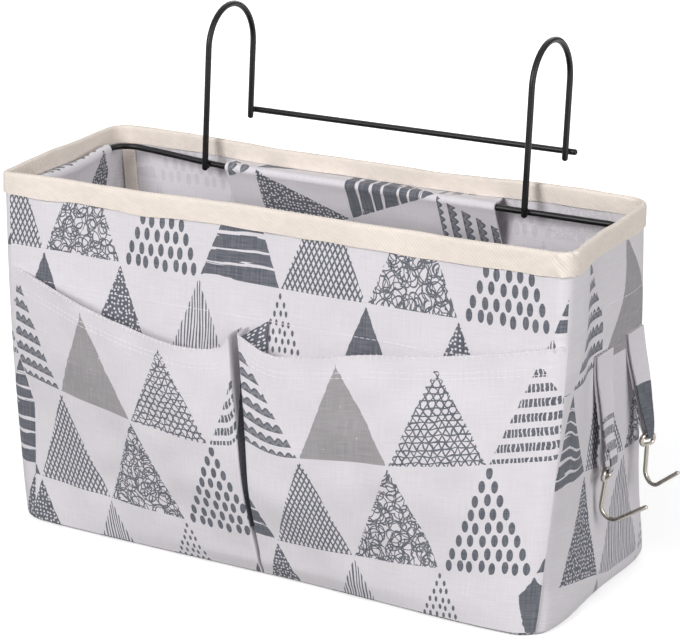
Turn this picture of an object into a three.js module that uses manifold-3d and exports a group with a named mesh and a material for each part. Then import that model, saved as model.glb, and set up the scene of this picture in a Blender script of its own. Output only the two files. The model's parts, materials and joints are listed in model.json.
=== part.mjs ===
// Bedside caddy: an open fabric box on a wire hanger that hooks over a bed rail.
// Millimetres, +Z up. X runs along the long side, -Y is the front with the pockets, +Y faces the bed.
// The origin is the middle of the base on the floor. Each mesh is one separate piece.

import * as THREE from "three";
import { mergeVertices } from "three/addons/utils/BufferGeometryUtils.js";
import Module from "manifold-3d";

// Box of cloth: a slack frustum, longer and narrower at the rim than at the base
const RIM_LENGTH = 370;
const RIM_DEPTH = 122;
const BASE_LENGTH = 352;
const BASE_DEPTH = 148;
const HEIGHT = 217;
const CORNER_FOLD = 2;
const CLOTH = 1.2;
const SEAT_GAP = 0.3;

// Twill tape: folded over the rim, and folded over the raw edges of the seams inside
const TAPE = 1.1;
const RIM_TAPE_OUTSIDE = 15;
const RIM_TAPE_INSIDE = 11;
const SEAM_TAPE = 1.6;
const SEAM_TAPE_WIDTH = 10;

// Stiffener that keeps the base flat
const BOARD = 2;
const BOARD_MARGIN = 2;
const BOARD_CORNER = 3;

// Wire hanger: a ring in the casings, two hooks welded inside it and a bar across the hooks
const WIRE = 4;
const RING_BELOW_RIM = 14;
const RING_FROM_LONG_SIDES = 11.5;
const RING_FROM_ENDS = 8;
const RING_BEND = 14;
const HOOK_SPACING = 220;
const HOOK_LEAN = THREE.MathUtils.degToRad(5);
const HOOK_STRAIGHT = 73;
const RAIL_GAP = 48;
const WIRE_STUB = 2;
const WIRE_END_EASE = 0.4;
const BAR_ABOVE_RING = 29.5;
const BAR_PAST_LEFT_HOOK = 1;
const BAR_PAST_RIGHT_HOOK = 6;

// Casings: cloth flaps that hold the ring against the walls, sewn to the wall below the wire
const CASING_CLOTH = 1.2;
const CASING_SEAM_BELOW_RING = 16;
const CASING_HEM = 4;
const FRONT_FLAP = 30;
const END_FLAP = 12;
const CASING_FROM_HOOK = 12;
const CASING_FROM_TAPE = 3;
const CASING_WRAP_FROM = THREE.MathUtils.degToRad(75);
const CASING_WRAP_TO = THREE.MathUtils.degToRad(-36);

// Pocket strip: one strip across the front, sewn down in the middle to make two pockets
const POCKET_CLOTH = 1.2;
const POCKET_BASE = 3;
const POCKET_HEIGHT_LEFT = 160;
const POCKET_DIP_LEFT = 135;
const POCKET_HEIGHT_MIDDLE = 147;
const POCKET_DIP_RIGHT = 138;
const POCKET_HEIGHT_RIGHT = 164;
const POCKET_DIP_FROM_SEAM = 28;
const POCKET_GAPE_LEFT = 20;
const POCKET_GAPE_RIGHT = 14;

// Straps on the right end, each folded round the eye of a key hook
const STRAP_CLOTH = 0.9;
const STRAP_WIDTH = 22;
const STRAP_END_WIDTH = 4;
const STRAP_TAPER = 55;
const STRAP_DROP = 70;
const STRAP_LOOP = 22;
const FRONT_STRAP_Y = 3;
const FRONT_STRAP_TOP = 143;
const FRONT_FOLD_FROM_WALL = 7.75;
const REAR_STRAP_FROM_BACK = 15;
const REAR_STRAP_TOP = 150;
const REAR_FOLD_FROM_WALL = 11.75;
const REAR_STRAP_TWIST = THREE.MathUtils.degToRad(-22);

// Key hooks: bent nickel wire, an eye above an open J
const KEY_WIRE = 2.6;
const EYE_BEND = 2.6;
const EYE_STRAIGHT = 4.6;
const EYE_SIDE = 0.4;
const EYE_CLEARANCE = 0.4;
const KEY_SHANK = 16;
const KEY_BEND = 7;
const KEY_SWEEP = THREE.MathUtils.degToRad(130);
const KEY_ARM = 20;
const KEY_HANG = THREE.MathUtils.degToRad(10);

// Facets
const ARC_STEPS = 6;
const WIRE_SIDES = 10;
const POCKET_COLUMNS = 30;
const POCKET_ROWS = 5;
const STRAP_COLUMNS = 4;

// Levels and layers worked out from the sizes above
const CORNER_RADIUS = CORNER_FOLD + SEAM_TAPE + SEAT_GAP + CLOTH;
const WALL_FOOT = CLOTH + SEAT_GAP;
const WALL_TOP = HEIGHT - TAPE - SEAT_GAP;
const RING_Z = HEIGHT - RING_BELOW_RIM;
const BOARD_TOP = WALL_FOOT + BOARD;
const SEAM_TAPE_FOOT = BOARD_TOP + SEAT_GAP;
const CORNER_TAPE_FOOT = SEAM_TAPE_FOOT + SEAM_TAPE_WIDTH + SEAT_GAP;
const RIM_TAPE_INNER_EDGE = HEIGHT - RIM_TAPE_INSIDE;
const CASING_SEAM_Z = RING_Z - CASING_SEAM_BELOW_RING;

const wasm = await Module();
wasm.setup();

// Half length and half depth of the cloth box, outside, at a height
const taper = (base, rim, z) => THREE.MathUtils.lerp(base, rim, z / HEIGHT) / 2;
const halfLength = (z) => taper(BASE_LENGTH, RIM_LENGTH, z);
const halfDepth = (z) => taper(BASE_DEPTH, RIM_DEPTH, z);

// Turns a geometry's triangles round if they face inwards.
function facingOut(geometry) {
  const at = geometry.getAttribute("position");
  const index = geometry.getIndex();
  const [a, b, c] = [0, 1, 2].map(() => new THREE.Vector3());
  let volume = 0;
  for (let i = 0; i < index.count; i += 3) {
    a.fromBufferAttribute(at, index.getX(i));
    b.fromBufferAttribute(at, index.getX(i + 1));
    c.fromBufferAttribute(at, index.getX(i + 2));
    volume += a.dot(b.cross(c));
  }
  if (volume < 0) index.array.reverse();
  return geometry;
}

// Skins a row of closed sections into one solid. The ends are closed by a ladder of quads
// between the first and second half of each end section, unless the row runs round on itself.
function skin(sections, runsRound = false) {
  const size = sections[0].length;
  const index = [];
  const quad = (a, b, c, d) => index.push(a, b, c, a, c, d);
  const spans = runsRound ? sections.length : sections.length - 1;
  for (let i = 0; i < spans; i++) {
    const here = i * size;
    const next = ((i + 1) % sections.length) * size;
    for (let k = 0; k < size; k++) {
      const after = (k + 1) % size;
      quad(here + k, next + k, next + after, here + after);
    }
  }
  if (!runsRound) {
    const last = (sections.length - 1) * size;
    for (let k = 0; k < size / 2 - 1; k++) {
      const across = size - 1 - k;
      quad(k, k + 1, across - 1, across);
      quad(last + across, last + across - 1, last + k + 1, last + k);
    }
  }
  const geometry = new THREE.BufferGeometry().setFromPoints(sections.flat());
  geometry.setIndex(index);
  return facingOut(geometry);
}

// A station is a place along an outline: it gives the point at an inset and a height there.
// Corner 0 is at +X +Y, and the corners count anticlockwise seen from above.
function cornerStation(corner, turn, halfX, halfY, radius) {
  const angle = ((corner + turn) * Math.PI) / 2;
  const signX = corner === 0 || corner === 3 ? 1 : -1;
  const signY = corner < 2 ? 1 : -1;
  return (inset, z) =>
    new THREE.Vector3(
      signX * (halfX(z) - radius) + (radius - inset) * Math.cos(angle),
      signY * (halfY(z) - radius) + (radius - inset) * Math.sin(angle),
      z,
    );
}

// Stations all the way round a rounded rectangle
function loopStations(halfX, halfY, radius) {
  const stations = [];
  for (let corner = 0; corner < 4; corner++) {
    for (let i = 0; i <= ARC_STEPS; i++) {
      stations.push(cornerStation(corner, i / ARC_STEPS, halfX, halfY, radius));
    }
  }
  return stations;
}

const boxCorner = (corner, turn) => cornerStation(corner, turn, halfLength, halfDepth, CORNER_RADIUS);
const boxLoop = loopStations(halfLength, halfDepth, CORNER_RADIUS);

// Sides of the box, numbered by the corner at their far end going anticlockwise
const RIGHT = 0;
const BACK = 1;
const LEFT = 2;
const FRONT = 3;

// Stations along the straight part of a side, from 0 at its near corner to 1 at its far one
function straightStation(side, share) {
  const near = boxCorner((side + 3) % 4, 1);
  const far = boxCorner(side, 0);
  return (inset, z) => near(inset, z).lerp(far(inset, z), share);
}

// Stations along a side from the middle of one corner to the middle of the next, where its seams are,
// each with its share of the straight part
function sideStations(side, columns) {
  const seamTurn = 0.5 + SEAT_GAP / 2 / CORNER_RADIUS;
  const arc = ARC_STEPS / 2;
  const stations = [];
  for (let i = 0; i < arc; i++) {
    const turn = THREE.MathUtils.lerp(seamTurn, 1, i / arc);
    stations.push({ at: boxCorner((side + 3) % 4, turn), share: 0 });
  }
  for (let i = 0; i <= columns; i++) {
    stations.push({ at: straightStation(side, i / columns), share: i / columns });
  }
  for (let i = 1; i <= arc; i++) {
    const turn = THREE.MathUtils.lerp(0, 1 - seamTurn, i / arc);
    stations.push({ at: boxCorner(side, turn), share: 1 });
  }
  return stations;
}

// Closed outline of a strip of cloth of a thickness along an open path of 2D points
function stripOutline(path, thickness) {
  const sides = [1, -1].map((sign) =>
    path.map((point, i) => {
      const along = path[Math.min(i + 1, path.length - 1)].clone().sub(path[Math.max(i - 1, 0)]).normalize();
      const across = new THREE.Vector2(-along.y, along.x);
      return point.clone().addScaledVector(across, (sign * thickness) / 2);
    }),
  );
  return [...sides[0], ...sides[1].reverse()];
}

// Flat plate with rounded corners between two heights
function roundedPlate(halfX, halfY, radius, foot, top) {
  const shape = new THREE.Shape();
  const corners = [
    [halfX - radius, halfY - radius],
    [radius - halfX, halfY - radius],
    [radius - halfX, radius - halfY],
    [halfX - radius, radius - halfY],
  ];
  corners.forEach(([x, y], i) => shape.absarc(x, y, radius, (i * Math.PI) / 2, ((i + 1) * Math.PI) / 2));
  const plate = new THREE.ExtrudeGeometry(shape, {
    depth: top - foot,
    bevelEnabled: false,
    curveSegments: ARC_STEPS,
  });
  return plate.translate(0, 0, foot);
}

// Round wire in a rounded rectangle that closes on itself
function wireRing(halfX, halfY, bend, z, diameter) {
  const stations = loopStations(() => halfX, () => halfY, bend);
  const sections = stations.map((at) =>
    Array.from({ length: WIRE_SIDES }, (_, k) => {
      const angle = (2 * Math.PI * k) / WIRE_SIDES;
      const radius = diameter / 2;
      return at(radius * Math.cos(angle), z + radius * Math.sin(angle));
    }),
  );
  return skin(sections, true);
}

// Round wire bent along a flat path, in a plane given by its two directions, with eased ends
function bentWire(path, diameter, right, up) {
  const side = new THREE.Vector3().crossVectors(right, up);
  const points = path.getPoints(ARC_STEPS * 2);
  const radius = diameter / 2;
  const easing = radius * WIRE_END_EASE;
  const ring = (point, along, scale) => {
    const normal = right.clone().multiplyScalar(-along.y).addScaledVector(up, along.x);
    const centre = right.clone().multiplyScalar(point.x).addScaledVector(up, point.y);
    return Array.from({ length: WIRE_SIDES }, (_, k) => {
      const angle = (2 * Math.PI * k) / WIRE_SIDES;
      return centre
        .clone()
        .addScaledVector(normal, scale * Math.cos(angle))
        .addScaledVector(side, scale * Math.sin(angle));
    });
  };
  const sections = [];
  points.forEach((point, i) => {
    const before = points[Math.max(i - 1, 0)];
    const after = points[Math.min(i + 1, points.length - 1)];
    const along = after.clone().sub(before).normalize();
    if (i === 0) sections.push(ring(point, along, radius - easing));
    const shift = i === 0 ? easing : i === points.length - 1 ? -easing : 0;
    sections.push(ring(point.clone().addScaledVector(along, shift), along, radius));
    if (i === points.length - 1) sections.push(ring(point, along, radius - easing));
  });
  return skin(sections);
}

// A geometry as a solid that can be joined to another
function solid(geometry) {
  const bare = new THREE.BufferGeometry();
  bare.setAttribute("position", geometry.getAttribute("position"));
  bare.setIndex(geometry.getIndex());
  const merged = mergeVertices(bare);
  const triVerts = new Uint32Array(merged.getIndex().array);
  const vertProperties = new Float32Array(merged.getAttribute("position").array);
  return new wasm.Manifold(new wasm.Mesh({ numProp: 3, vertProperties, triVerts }));
}

// Two geometries joined into one
function joined(first, second) {
  const mesh = solid(first).add(solid(second)).getMesh();
  const geometry = new THREE.BufferGeometry();
  geometry.setAttribute("position", new THREE.BufferAttribute(mesh.vertProperties, 3));
  geometry.setIndex(new THREE.BufferAttribute(mesh.triVerts, 1));
  return geometry;
}

const caddy = new THREE.Group();

const finishes = {
  printedCloth: { color: "#d9d6dc", roughness: 0.9, metalness: 0 },
  twillTape: { color: "#f0e6d8", roughness: 0.85, metalness: 0 },
  boardPlastic: { color: "#e6e4de", roughness: 0.6, metalness: 0 },
  blackWire: { color: "#151516", roughness: 0.4, metalness: 0.2 },
  nickelWire: { color: "#b7b1a8", roughness: 0.25, metalness: 1 },
};

// Adds a named piece with its own material to a group.
function add(name, geometry, finish, group = caddy) {
  const material = new THREE.MeshStandardMaterial(finishes[finish]);
  geometry.computeVertexNormals();
  const mesh = new THREE.Mesh(geometry, material);
  mesh.name = name;
  group.add(mesh);
  return mesh;
}

// Four walls, sewn to each other at the corners
function wall(side) {
  return skin(
    sideStations(side, 1).map(({ at }) => [
      at(0, WALL_FOOT),
      at(0, WALL_TOP),
      at(CLOTH, WALL_TOP),
      at(CLOTH, WALL_FOOT),
    ]),
  );
}

add("front_panel", wall(FRONT), "printedCloth");
add("back_panel", wall(BACK), "printedCloth");
add("left_end_panel", wall(LEFT), "printedCloth");
add("right_end_panel", wall(RIGHT), "printedCloth");

// Base cloth under the walls, and the stiffener that lies on it
add("base_panel", roundedPlate(BASE_LENGTH / 2, BASE_DEPTH / 2, CORNER_RADIUS, 0, CLOTH), "printedCloth");

const boardInset = CLOTH + BOARD_MARGIN;
const boardGeometry = roundedPlate(
  BASE_LENGTH / 2 - boardInset,
  BASE_DEPTH / 2 - boardInset,
  BOARD_CORNER,
  WALL_FOOT,
  BOARD_TOP,
);
add("base_board", boardGeometry, "boardPlastic");

// Tape folded over the rim: an upturned U round the top of the walls
const rimTapeProfile = [
  [-SEAT_GAP - TAPE, HEIGHT - RIM_TAPE_OUTSIDE],
  [-SEAT_GAP - TAPE, HEIGHT - TAPE / 2],
  [-SEAT_GAP - TAPE / 2, HEIGHT],
  [CLOTH + SEAT_GAP + TAPE / 2, HEIGHT],
  [CLOTH + SEAT_GAP + TAPE, HEIGHT - TAPE / 2],
  [CLOTH + SEAT_GAP + TAPE, RIM_TAPE_INNER_EDGE],
  [CLOTH + SEAT_GAP, RIM_TAPE_INNER_EDGE],
  [CLOTH + SEAT_GAP, HEIGHT - TAPE],
  [-SEAT_GAP, HEIGHT - TAPE],
  [-SEAT_GAP, HEIGHT - RIM_TAPE_OUTSIDE],
];
const rimTapeSections = boxLoop.map((at) => rimTapeProfile.map(([inset, z]) => at(inset, z)));
add("rim_binding", skin(rimTapeSections, true), "twillTape");

// Tape over the seam round the base, inside, just above the board
const seamTapeInset = CLOTH + SEAT_GAP;
const baseTapeSections = boxLoop.map((at) => [
  at(seamTapeInset, SEAM_TAPE_FOOT),
  at(seamTapeInset, SEAM_TAPE_FOOT + SEAM_TAPE_WIDTH),
  at(seamTapeInset + SEAM_TAPE, SEAM_TAPE_FOOT + SEAM_TAPE_WIDTH),
  at(seamTapeInset + SEAM_TAPE, SEAM_TAPE_FOOT),
]);
add("base_seam_binding", skin(baseTapeSections, true), "twillTape");

// Tape over each corner seam, pressed flat against the long wall beside the corner
function cornerTape(side, share, inward) {
  const edge = straightStation(side, share);
  const top = RIM_TAPE_INNER_EDGE - SEAT_GAP;
  return skin(
    [0, inward * SEAM_TAPE_WIDTH].map((shift) => {
      const at = (inset, z) => edge(inset, z).add(new THREE.Vector3(shift, 0, 0));
      return [
        at(seamTapeInset, CORNER_TAPE_FOOT),
        at(seamTapeInset, top),
        at(seamTapeInset + SEAM_TAPE, top),
        at(seamTapeInset + SEAM_TAPE, CORNER_TAPE_FOOT),
      ];
    }),
  );
}

add("corner_binding_front_left", cornerTape(FRONT, 0, 1), "twillTape");
add("corner_binding_front_right", cornerTape(FRONT, 1, -1), "twillTape");
add("corner_binding_rear_right", cornerTape(BACK, 0, -1), "twillTape");
add("corner_binding_rear_left", cornerTape(BACK, 1, 1), "twillTape");

// Ring of the hanger
const ringHalfX = halfLength(RING_Z) - RING_FROM_ENDS;
const ringHalfY = halfDepth(RING_Z) - RING_FROM_LONG_SIDES;
add("rim_wire", wireRing(ringHalfX, ringHalfY, RING_BEND, RING_Z, WIRE), "blackWire");

// Hooks and bar, which lean back together from the ring
const hanger = new THREE.Group();
hanger.position.set(0, ringHalfY - WIRE - SEAT_GAP, RING_Z);
hanger.rotation.x = -HOOK_LEAN;
caddy.add(hanger);

const crestRadius = (RAIL_GAP + WIRE) / 2;
const hookPath = new THREE.Path();
hookPath.moveTo(0, -WIRE / 2 - WIRE_STUB);
hookPath.lineTo(0, HOOK_STRAIGHT);
hookPath.absarc(crestRadius, HOOK_STRAIGHT, crestRadius, Math.PI, 0, true);
hookPath.lineTo(2 * crestRadius, BAR_ABOVE_RING - WIRE / 2 - WIRE_STUB);

const ALONG_X = new THREE.Vector3(1, 0, 0);
const ALONG_Y = new THREE.Vector3(0, 1, 0);
const ALONG_Z = new THREE.Vector3(0, 0, 1);
for (const [name, side] of [["hanger_hook_left", -1], ["hanger_hook_right", 1]]) {
  const hook = add(name, bentWire(hookPath, WIRE, ALONG_Y, ALONG_Z), "blackWire", hanger);
  hook.position.x = (side * HOOK_SPACING) / 2;
}

const barLength = HOOK_SPACING + BAR_PAST_LEFT_HOOK + BAR_PAST_RIGHT_HOOK;
const barGeometry = new THREE.CylinderGeometry(WIRE / 2, WIRE / 2, barLength, WIRE_SIDES);
barGeometry.rotateZ(Math.PI / 2);
const bar = add("cross_bar", barGeometry, "blackWire", hanger);
bar.position.x = (BAR_PAST_RIGHT_HOOK - BAR_PAST_LEFT_HOOK) / 2;
bar.position.y = 2 * crestRadius + WIRE + SEAT_GAP;
bar.position.z = BAR_ABOVE_RING;

// A casing: a flap that starts under the rim tape, passes over the wire and is sewn to the wall below it
function casingOutline(wireInset, flap) {
  const wallInset = CLOTH + SEAT_GAP + CASING_CLOTH / 2;
  const over = WIRE / 2 + SEAT_GAP + CASING_CLOTH / 2;
  const path = [new THREE.Vector2(wallInset, RIM_TAPE_INNER_EDGE - SEAT_GAP - CASING_CLOTH / 2)];
  const wireArc = new THREE.Path();
  wireArc.absarc(wireInset, RING_Z, over, CASING_WRAP_FROM, CASING_WRAP_TO, true);
  path.push(...wireArc.getPoints(ARC_STEPS / 2));
  path.push(new THREE.Vector2(wallInset, CASING_SEAM_Z));
  path.push(new THREE.Vector2(wallInset, CASING_SEAM_Z - CASING_HEM - flap));
  return stripOutline(path, CASING_CLOTH);
}

function casing(side, half, wireInset, flap) {
  const middle = straightStation(side, 0.5);
  const alongSide = side === FRONT || side === BACK ? ALONG_X : ALONG_Y;
  const outline = casingOutline(wireInset, flap);
  return skin(
    [-half, half].map((shift) =>
      outline.map(({ x: inset, y: z }) => middle(inset, z).addScaledVector(alongSide, shift)),
    ),
  );
}

const frontCasingFoot = CASING_SEAM_Z - CASING_HEM - FRONT_FLAP;
const frontCasingHalf = halfLength(frontCasingFoot) - CORNER_RADIUS - SEAM_TAPE_WIDTH - CASING_FROM_TAPE;
const endCasingHalf = ringHalfY - RING_BEND;
const backCasingHalf = HOOK_SPACING / 2 - CASING_FROM_HOOK;
add("front_casing", casing(FRONT, frontCasingHalf, RING_FROM_LONG_SIDES, FRONT_FLAP), "printedCloth");
add("back_casing", casing(BACK, backCasingHalf, RING_FROM_LONG_SIDES, 0), "printedCloth");
add("left_casing", casing(LEFT, endCasingHalf, RING_FROM_ENDS, END_FLAP), "printedCloth");
add("right_casing", casing(RIGHT, endCasingHalf, RING_FROM_ENDS, END_FLAP), "printedCloth");

// Pocket strip: its hem dips and its cloth gapes between the corner seams and the middle seam.
// Across is the share of the front's straight part, from the left corner to the right one.
const stripLength = 2 * (halfLength(POCKET_HEIGHT_MIDDLE) - CORNER_RADIUS);
const dipAcross = 0.5 - POCKET_DIP_FROM_SEAM / stripLength;
const hemLine = new THREE.SplineCurve([
  new THREE.Vector2(0, POCKET_HEIGHT_LEFT),
  new THREE.Vector2(dipAcross / 2, (POCKET_HEIGHT_LEFT + POCKET_DIP_LEFT) / 2),
  new THREE.Vector2(dipAcross, POCKET_DIP_LEFT),
  new THREE.Vector2(0.5, POCKET_HEIGHT_MIDDLE),
  new THREE.Vector2(1 - dipAcross, POCKET_DIP_RIGHT),
  new THREE.Vector2(1 - dipAcross / 2, (POCKET_DIP_RIGHT + POCKET_HEIGHT_RIGHT) / 2),
  new THREE.Vector2(1, POCKET_HEIGHT_RIGHT),
]);

function pocketSection(at, across, hem) {
  const widest = across < 0.5 ? POCKET_GAPE_LEFT : POCKET_GAPE_RIGHT;
  const gape = widest * Math.abs(Math.sin(2 * Math.PI * across));
  const column = (thickness) =>
    Array.from({ length: POCKET_ROWS + 1 }, (_, row) => {
      const rise = row / POCKET_ROWS;
      return at(-SEAT_GAP - gape * rise - thickness, THREE.MathUtils.lerp(POCKET_BASE, hem, rise));
    });
  return [...column(POCKET_CLOTH), ...column(0).reverse()];
}

const frontStations = sideStations(FRONT, 1);
const pocketSections = [
  ...frontStations.filter(({ share }) => share === 0).map(({ at }) => pocketSection(at, 0, POCKET_HEIGHT_LEFT)),
  ...hemLine
    .getPoints(POCKET_COLUMNS)
    .slice(1, -1)
    .map(({ x: across, y: hem }) => pocketSection(straightStation(FRONT, across), across, hem)),
  ...frontStations.filter(({ share }) => share === 1).map(({ at }) => pocketSection(at, 1, POCKET_HEIGHT_RIGHT)),
];
add("pocket_strip", skin(pocketSections), "printedCloth");

// Strap: two layers that part round the eye of the key hook, with the middle of the eye's top wire at 0, 0
function strapPath() {
  const apart = (STRAP_CLOTH + SEAT_GAP) / 2;
  const round = KEY_WIRE / 2 + EYE_CLEARANCE + STRAP_CLOTH / 2;
  const stretch = (sign, top, foot) =>
    Array.from({ length: ARC_STEPS }, (_, i) => {
      const z = THREE.MathUtils.lerp(top, foot, i / ARC_STEPS);
      const x = THREE.MathUtils.lerp(round, apart, THREE.MathUtils.smoothstep(z, 0, STRAP_LOOP));
      return new THREE.Vector2(sign * x, z);
    });
  const layer = (sign) => [...stretch(sign, STRAP_DROP, STRAP_LOOP), ...stretch(sign, STRAP_LOOP, 0)];
  const fold = new THREE.Path();
  fold.absarc(0, 0, round, 0, -Math.PI, true);
  return [...layer(1), ...fold.getPoints(ARC_STEPS), ...layer(-1).reverse()];
}

function strap(topOffset, twist) {
  const outline = stripOutline(strapPath(), STRAP_CLOTH);
  const column = (share) =>
    outline.map(({ x, y: z }) => {
      const rise = THREE.MathUtils.clamp(z / STRAP_DROP, 0, 1);
      const spread = THREE.MathUtils.clamp(z / STRAP_TAPER, 0, 1);
      const width = THREE.MathUtils.lerp(STRAP_END_WIDTH, STRAP_WIDTH, spread);
      const point = new THREE.Vector3(x, (share - 0.5) * width, z);
      point.applyAxisAngle(ALONG_Z, twist * (1 - rise));
      return point.addScaledVector(ALONG_X, topOffset * rise);
    });
  return skin(Array.from({ length: STRAP_COLUMNS + 1 }, (_, i) => column(i / STRAP_COLUMNS)));
}

// Key hook: the eye hangs in the strap's fold, and the J below it opens away from the wall
function keyHook() {
  const eyeHalfHeight = EYE_BEND + EYE_SIDE / 2;
  const eye = wireRing(EYE_STRAIGHT / 2 + EYE_BEND, eyeHalfHeight, EYE_BEND, 0, KEY_WIRE);
  eye.rotateX(Math.PI / 2).rotateZ(Math.PI / 2).translate(0, 0, -eyeHalfHeight);
  const shankTop = -2 * eyeHalfHeight;
  const shankFoot = shankTop - KEY_SHANK;
  const armAngle = KEY_SWEEP - Math.PI / 2;
  const path = new THREE.Path();
  path.moveTo(0, shankTop);
  path.lineTo(0, shankFoot);
  path.absarc(KEY_BEND, shankFoot, KEY_BEND, Math.PI, Math.PI + KEY_SWEEP, false);
  const bendEnd = path.currentPoint.clone();
  path.lineTo(bendEnd.x + KEY_ARM * Math.cos(armAngle), bendEnd.y + KEY_ARM * Math.sin(armAngle));
  return joined(eye, bentWire(path, KEY_WIRE, ALONG_X, ALONG_Z));
}

// A strap with its hook, sewn to the right end at a height, with its fold standing off from the wall
function strapWithHook(place, y, top, foldFromWall, twist) {
  const sewnX = halfLength(top) + SEAT_GAP + STRAP_CLOTH + SEAT_GAP / 2;
  const foldZ = top - STRAP_DROP;
  const foldX = halfLength(foldZ) + foldFromWall;
  const fitting = new THREE.Group();
  fitting.position.set(foldX, y, foldZ);
  add(`${place}_strap`, strap(sewnX - foldX, twist), "printedCloth", fitting);
  const swivel = new THREE.Group();
  swivel.rotation.z = twist;
  fitting.add(swivel);
  const hook = add(`${place}_key_hook`, keyHook(), "nickelWire", swivel);
  hook.rotation.y = KEY_HANG;
  caddy.add(fitting);
}

const rearStrapY = halfDepth(REAR_STRAP_TOP) - REAR_STRAP_FROM_BACK;
strapWithHook("front", FRONT_STRAP_Y, FRONT_STRAP_TOP, FRONT_FOLD_FROM_WALL, 0);
strapWithHook("rear", rearStrapY, REAR_STRAP_TOP, REAR_FOLD_FROM_WALL, REAR_STRAP_TWIST);

export default caddy;
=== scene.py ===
"""Bedside caddy: a slack box of printed cotton-linen on a black wire hanger.

X runs along the long side, -Y is the front with the pockets and +Z is up. The geometry here is worked out in
millimetres and turned to metres when a mesh is made.
"""

import json
import math
from typing import NamedTuple

import bpy
import numpy as np
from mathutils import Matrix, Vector


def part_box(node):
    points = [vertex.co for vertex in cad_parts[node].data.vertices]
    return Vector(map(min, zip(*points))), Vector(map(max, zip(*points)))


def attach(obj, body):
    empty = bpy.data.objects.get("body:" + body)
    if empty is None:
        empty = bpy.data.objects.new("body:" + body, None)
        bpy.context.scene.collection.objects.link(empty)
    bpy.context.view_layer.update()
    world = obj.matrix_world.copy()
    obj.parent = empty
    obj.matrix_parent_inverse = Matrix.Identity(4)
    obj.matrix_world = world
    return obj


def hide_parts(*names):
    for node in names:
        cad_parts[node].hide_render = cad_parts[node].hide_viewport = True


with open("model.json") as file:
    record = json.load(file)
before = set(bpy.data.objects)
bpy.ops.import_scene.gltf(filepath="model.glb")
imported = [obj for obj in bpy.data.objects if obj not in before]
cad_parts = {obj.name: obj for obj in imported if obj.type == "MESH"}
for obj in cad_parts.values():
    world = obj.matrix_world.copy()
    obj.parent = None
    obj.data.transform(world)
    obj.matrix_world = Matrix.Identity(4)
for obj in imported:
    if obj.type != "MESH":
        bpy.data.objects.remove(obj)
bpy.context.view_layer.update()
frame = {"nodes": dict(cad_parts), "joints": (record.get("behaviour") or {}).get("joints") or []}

bl_info = {
    "name": "Bedside caddy",
    "version": (1, 0, 0),
    "blender": (4, 5, 0),
    "location": "View3D > Sidebar > Caddy",
    "description": "Dresses the frame of a bedside caddy in cloth, tape, wire and thread",
    "category": "Add Mesh",
}

MM = 0.001


def linear(code):
    """An sRGB hex colour as linear red, green and blue."""
    channels = [int(code[i : i + 2], 16) / 255 for i in (1, 3, 5)]
    return [c / 12.92 if c <= 0.04045 else ((c + 0.055) / 1.055) ** 2.4 for c in channels]


# Sizes of the frame, in millimetres


def node_box(node):
    """Lowest and highest corner of a frame node."""
    return [np.array(corner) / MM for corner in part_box(node)]


def joint_place(name):
    """Where a joint of the frame is."""
    return np.array(next(j for j in frame["joints"] if j["name"] == name)["pos_m"]) / MM


FOOT_HALF = node_box("base_panel")[1]
END_TOP = node_box("right_end_panel")[1]
BACK_POINTS = np.array([v.co for v in frame["nodes"]["back_panel"].data.vertices]) / MM
WALL_TOP = BACK_POINTS[:, 2].max()
TOP_HALF_DEPTH = BACK_POINTS[BACK_POINTS[:, 2] > WALL_TOP - 0.1, 1].max()
RIM_Z = node_box("rim_binding")[1][2]
RING_LOW, RING_HIGH = node_box("rim_wire")
WIRE_RADIUS = (RING_HIGH[2] - RING_LOW[2]) / 2
RING_Z = RING_LOW[2] + WIRE_RADIUS
CORNER_ROUND = 5.1
GAP = 0.3


def half_length(z):
    """Half the taut box's outside length at a height."""
    return FOOT_HALF[0] + (END_TOP[0] - FOOT_HALF[0]) * z / END_TOP[2]


def half_depth(z):
    """Half the taut box's outside depth at a height."""
    return FOOT_HALF[1] + (TOP_HALF_DEPTH - FOOT_HALF[1]) * z / WALL_TOP


# Settings that a user would change


def size_setting(name, description, size):
    """A setting for a length, with a default in millimetres."""
    return bpy.props.FloatProperty(
        name=name, description=description, default=size * MM, unit="LENGTH", precision=4)


def colour_setting(name, description, code):
    """A setting for a colour."""
    return bpy.props.FloatVectorProperty(
        name=name, description=description, default=linear(code), subtype="COLOR", min=0, max=1)


class CaddyCloth(bpy.types.PropertyGroup):
    """Printed cotton-linen of the box, pockets, casings and straps"""

    thickness: size_setting("Thickness", "Thickness of one layer", 1.2)
    belly: size_setting("Belly", "How far the long walls swell between their seams", 2.5)
    ripple: size_setting("Ripple", "Height of the slack ripples in the walls", 0.9)
    ground: colour_setting("Ground", "Unprinted cloth", "#DEDADF")
    ink: colour_setting("Ink", "Slate printing ink", "#4C515C")
    grey: colour_setting("Grey", "Warm grey printing ink", "#989597")
    motif_width: size_setting("Motif width", "Base of a printed triangle", 54.5)
    motif_height: size_setting("Motif height", "Height of a printed row", 53)


class CaddyTape(bpy.types.PropertyGroup):
    """Cream twill tape on the rim and on the seams inside"""

    outside: size_setting("Outside", "Width that shows outside the rim", 13.5)
    inside: size_setting("Inside", "Width that shows inside the rim", 11)
    thickness: size_setting("Thickness", "Thickness of the tape", 1.1)
    colour: colour_setting("Colour", "Unbleached cotton", "#EDE2D8")


class CaddyWire(bpy.types.PropertyGroup):
    """Black hanger wire and nickel key hooks"""

    black: colour_setting("Black", "Powder coat of the hanger", "#0E0E0F")
    nickel: colour_setting("Nickel", "Plating of the key hooks", "#ABA59C")
    key_diameter: size_setting("Key hook wire", "Diameter of the key hooks' wire", 2.6)


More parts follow.
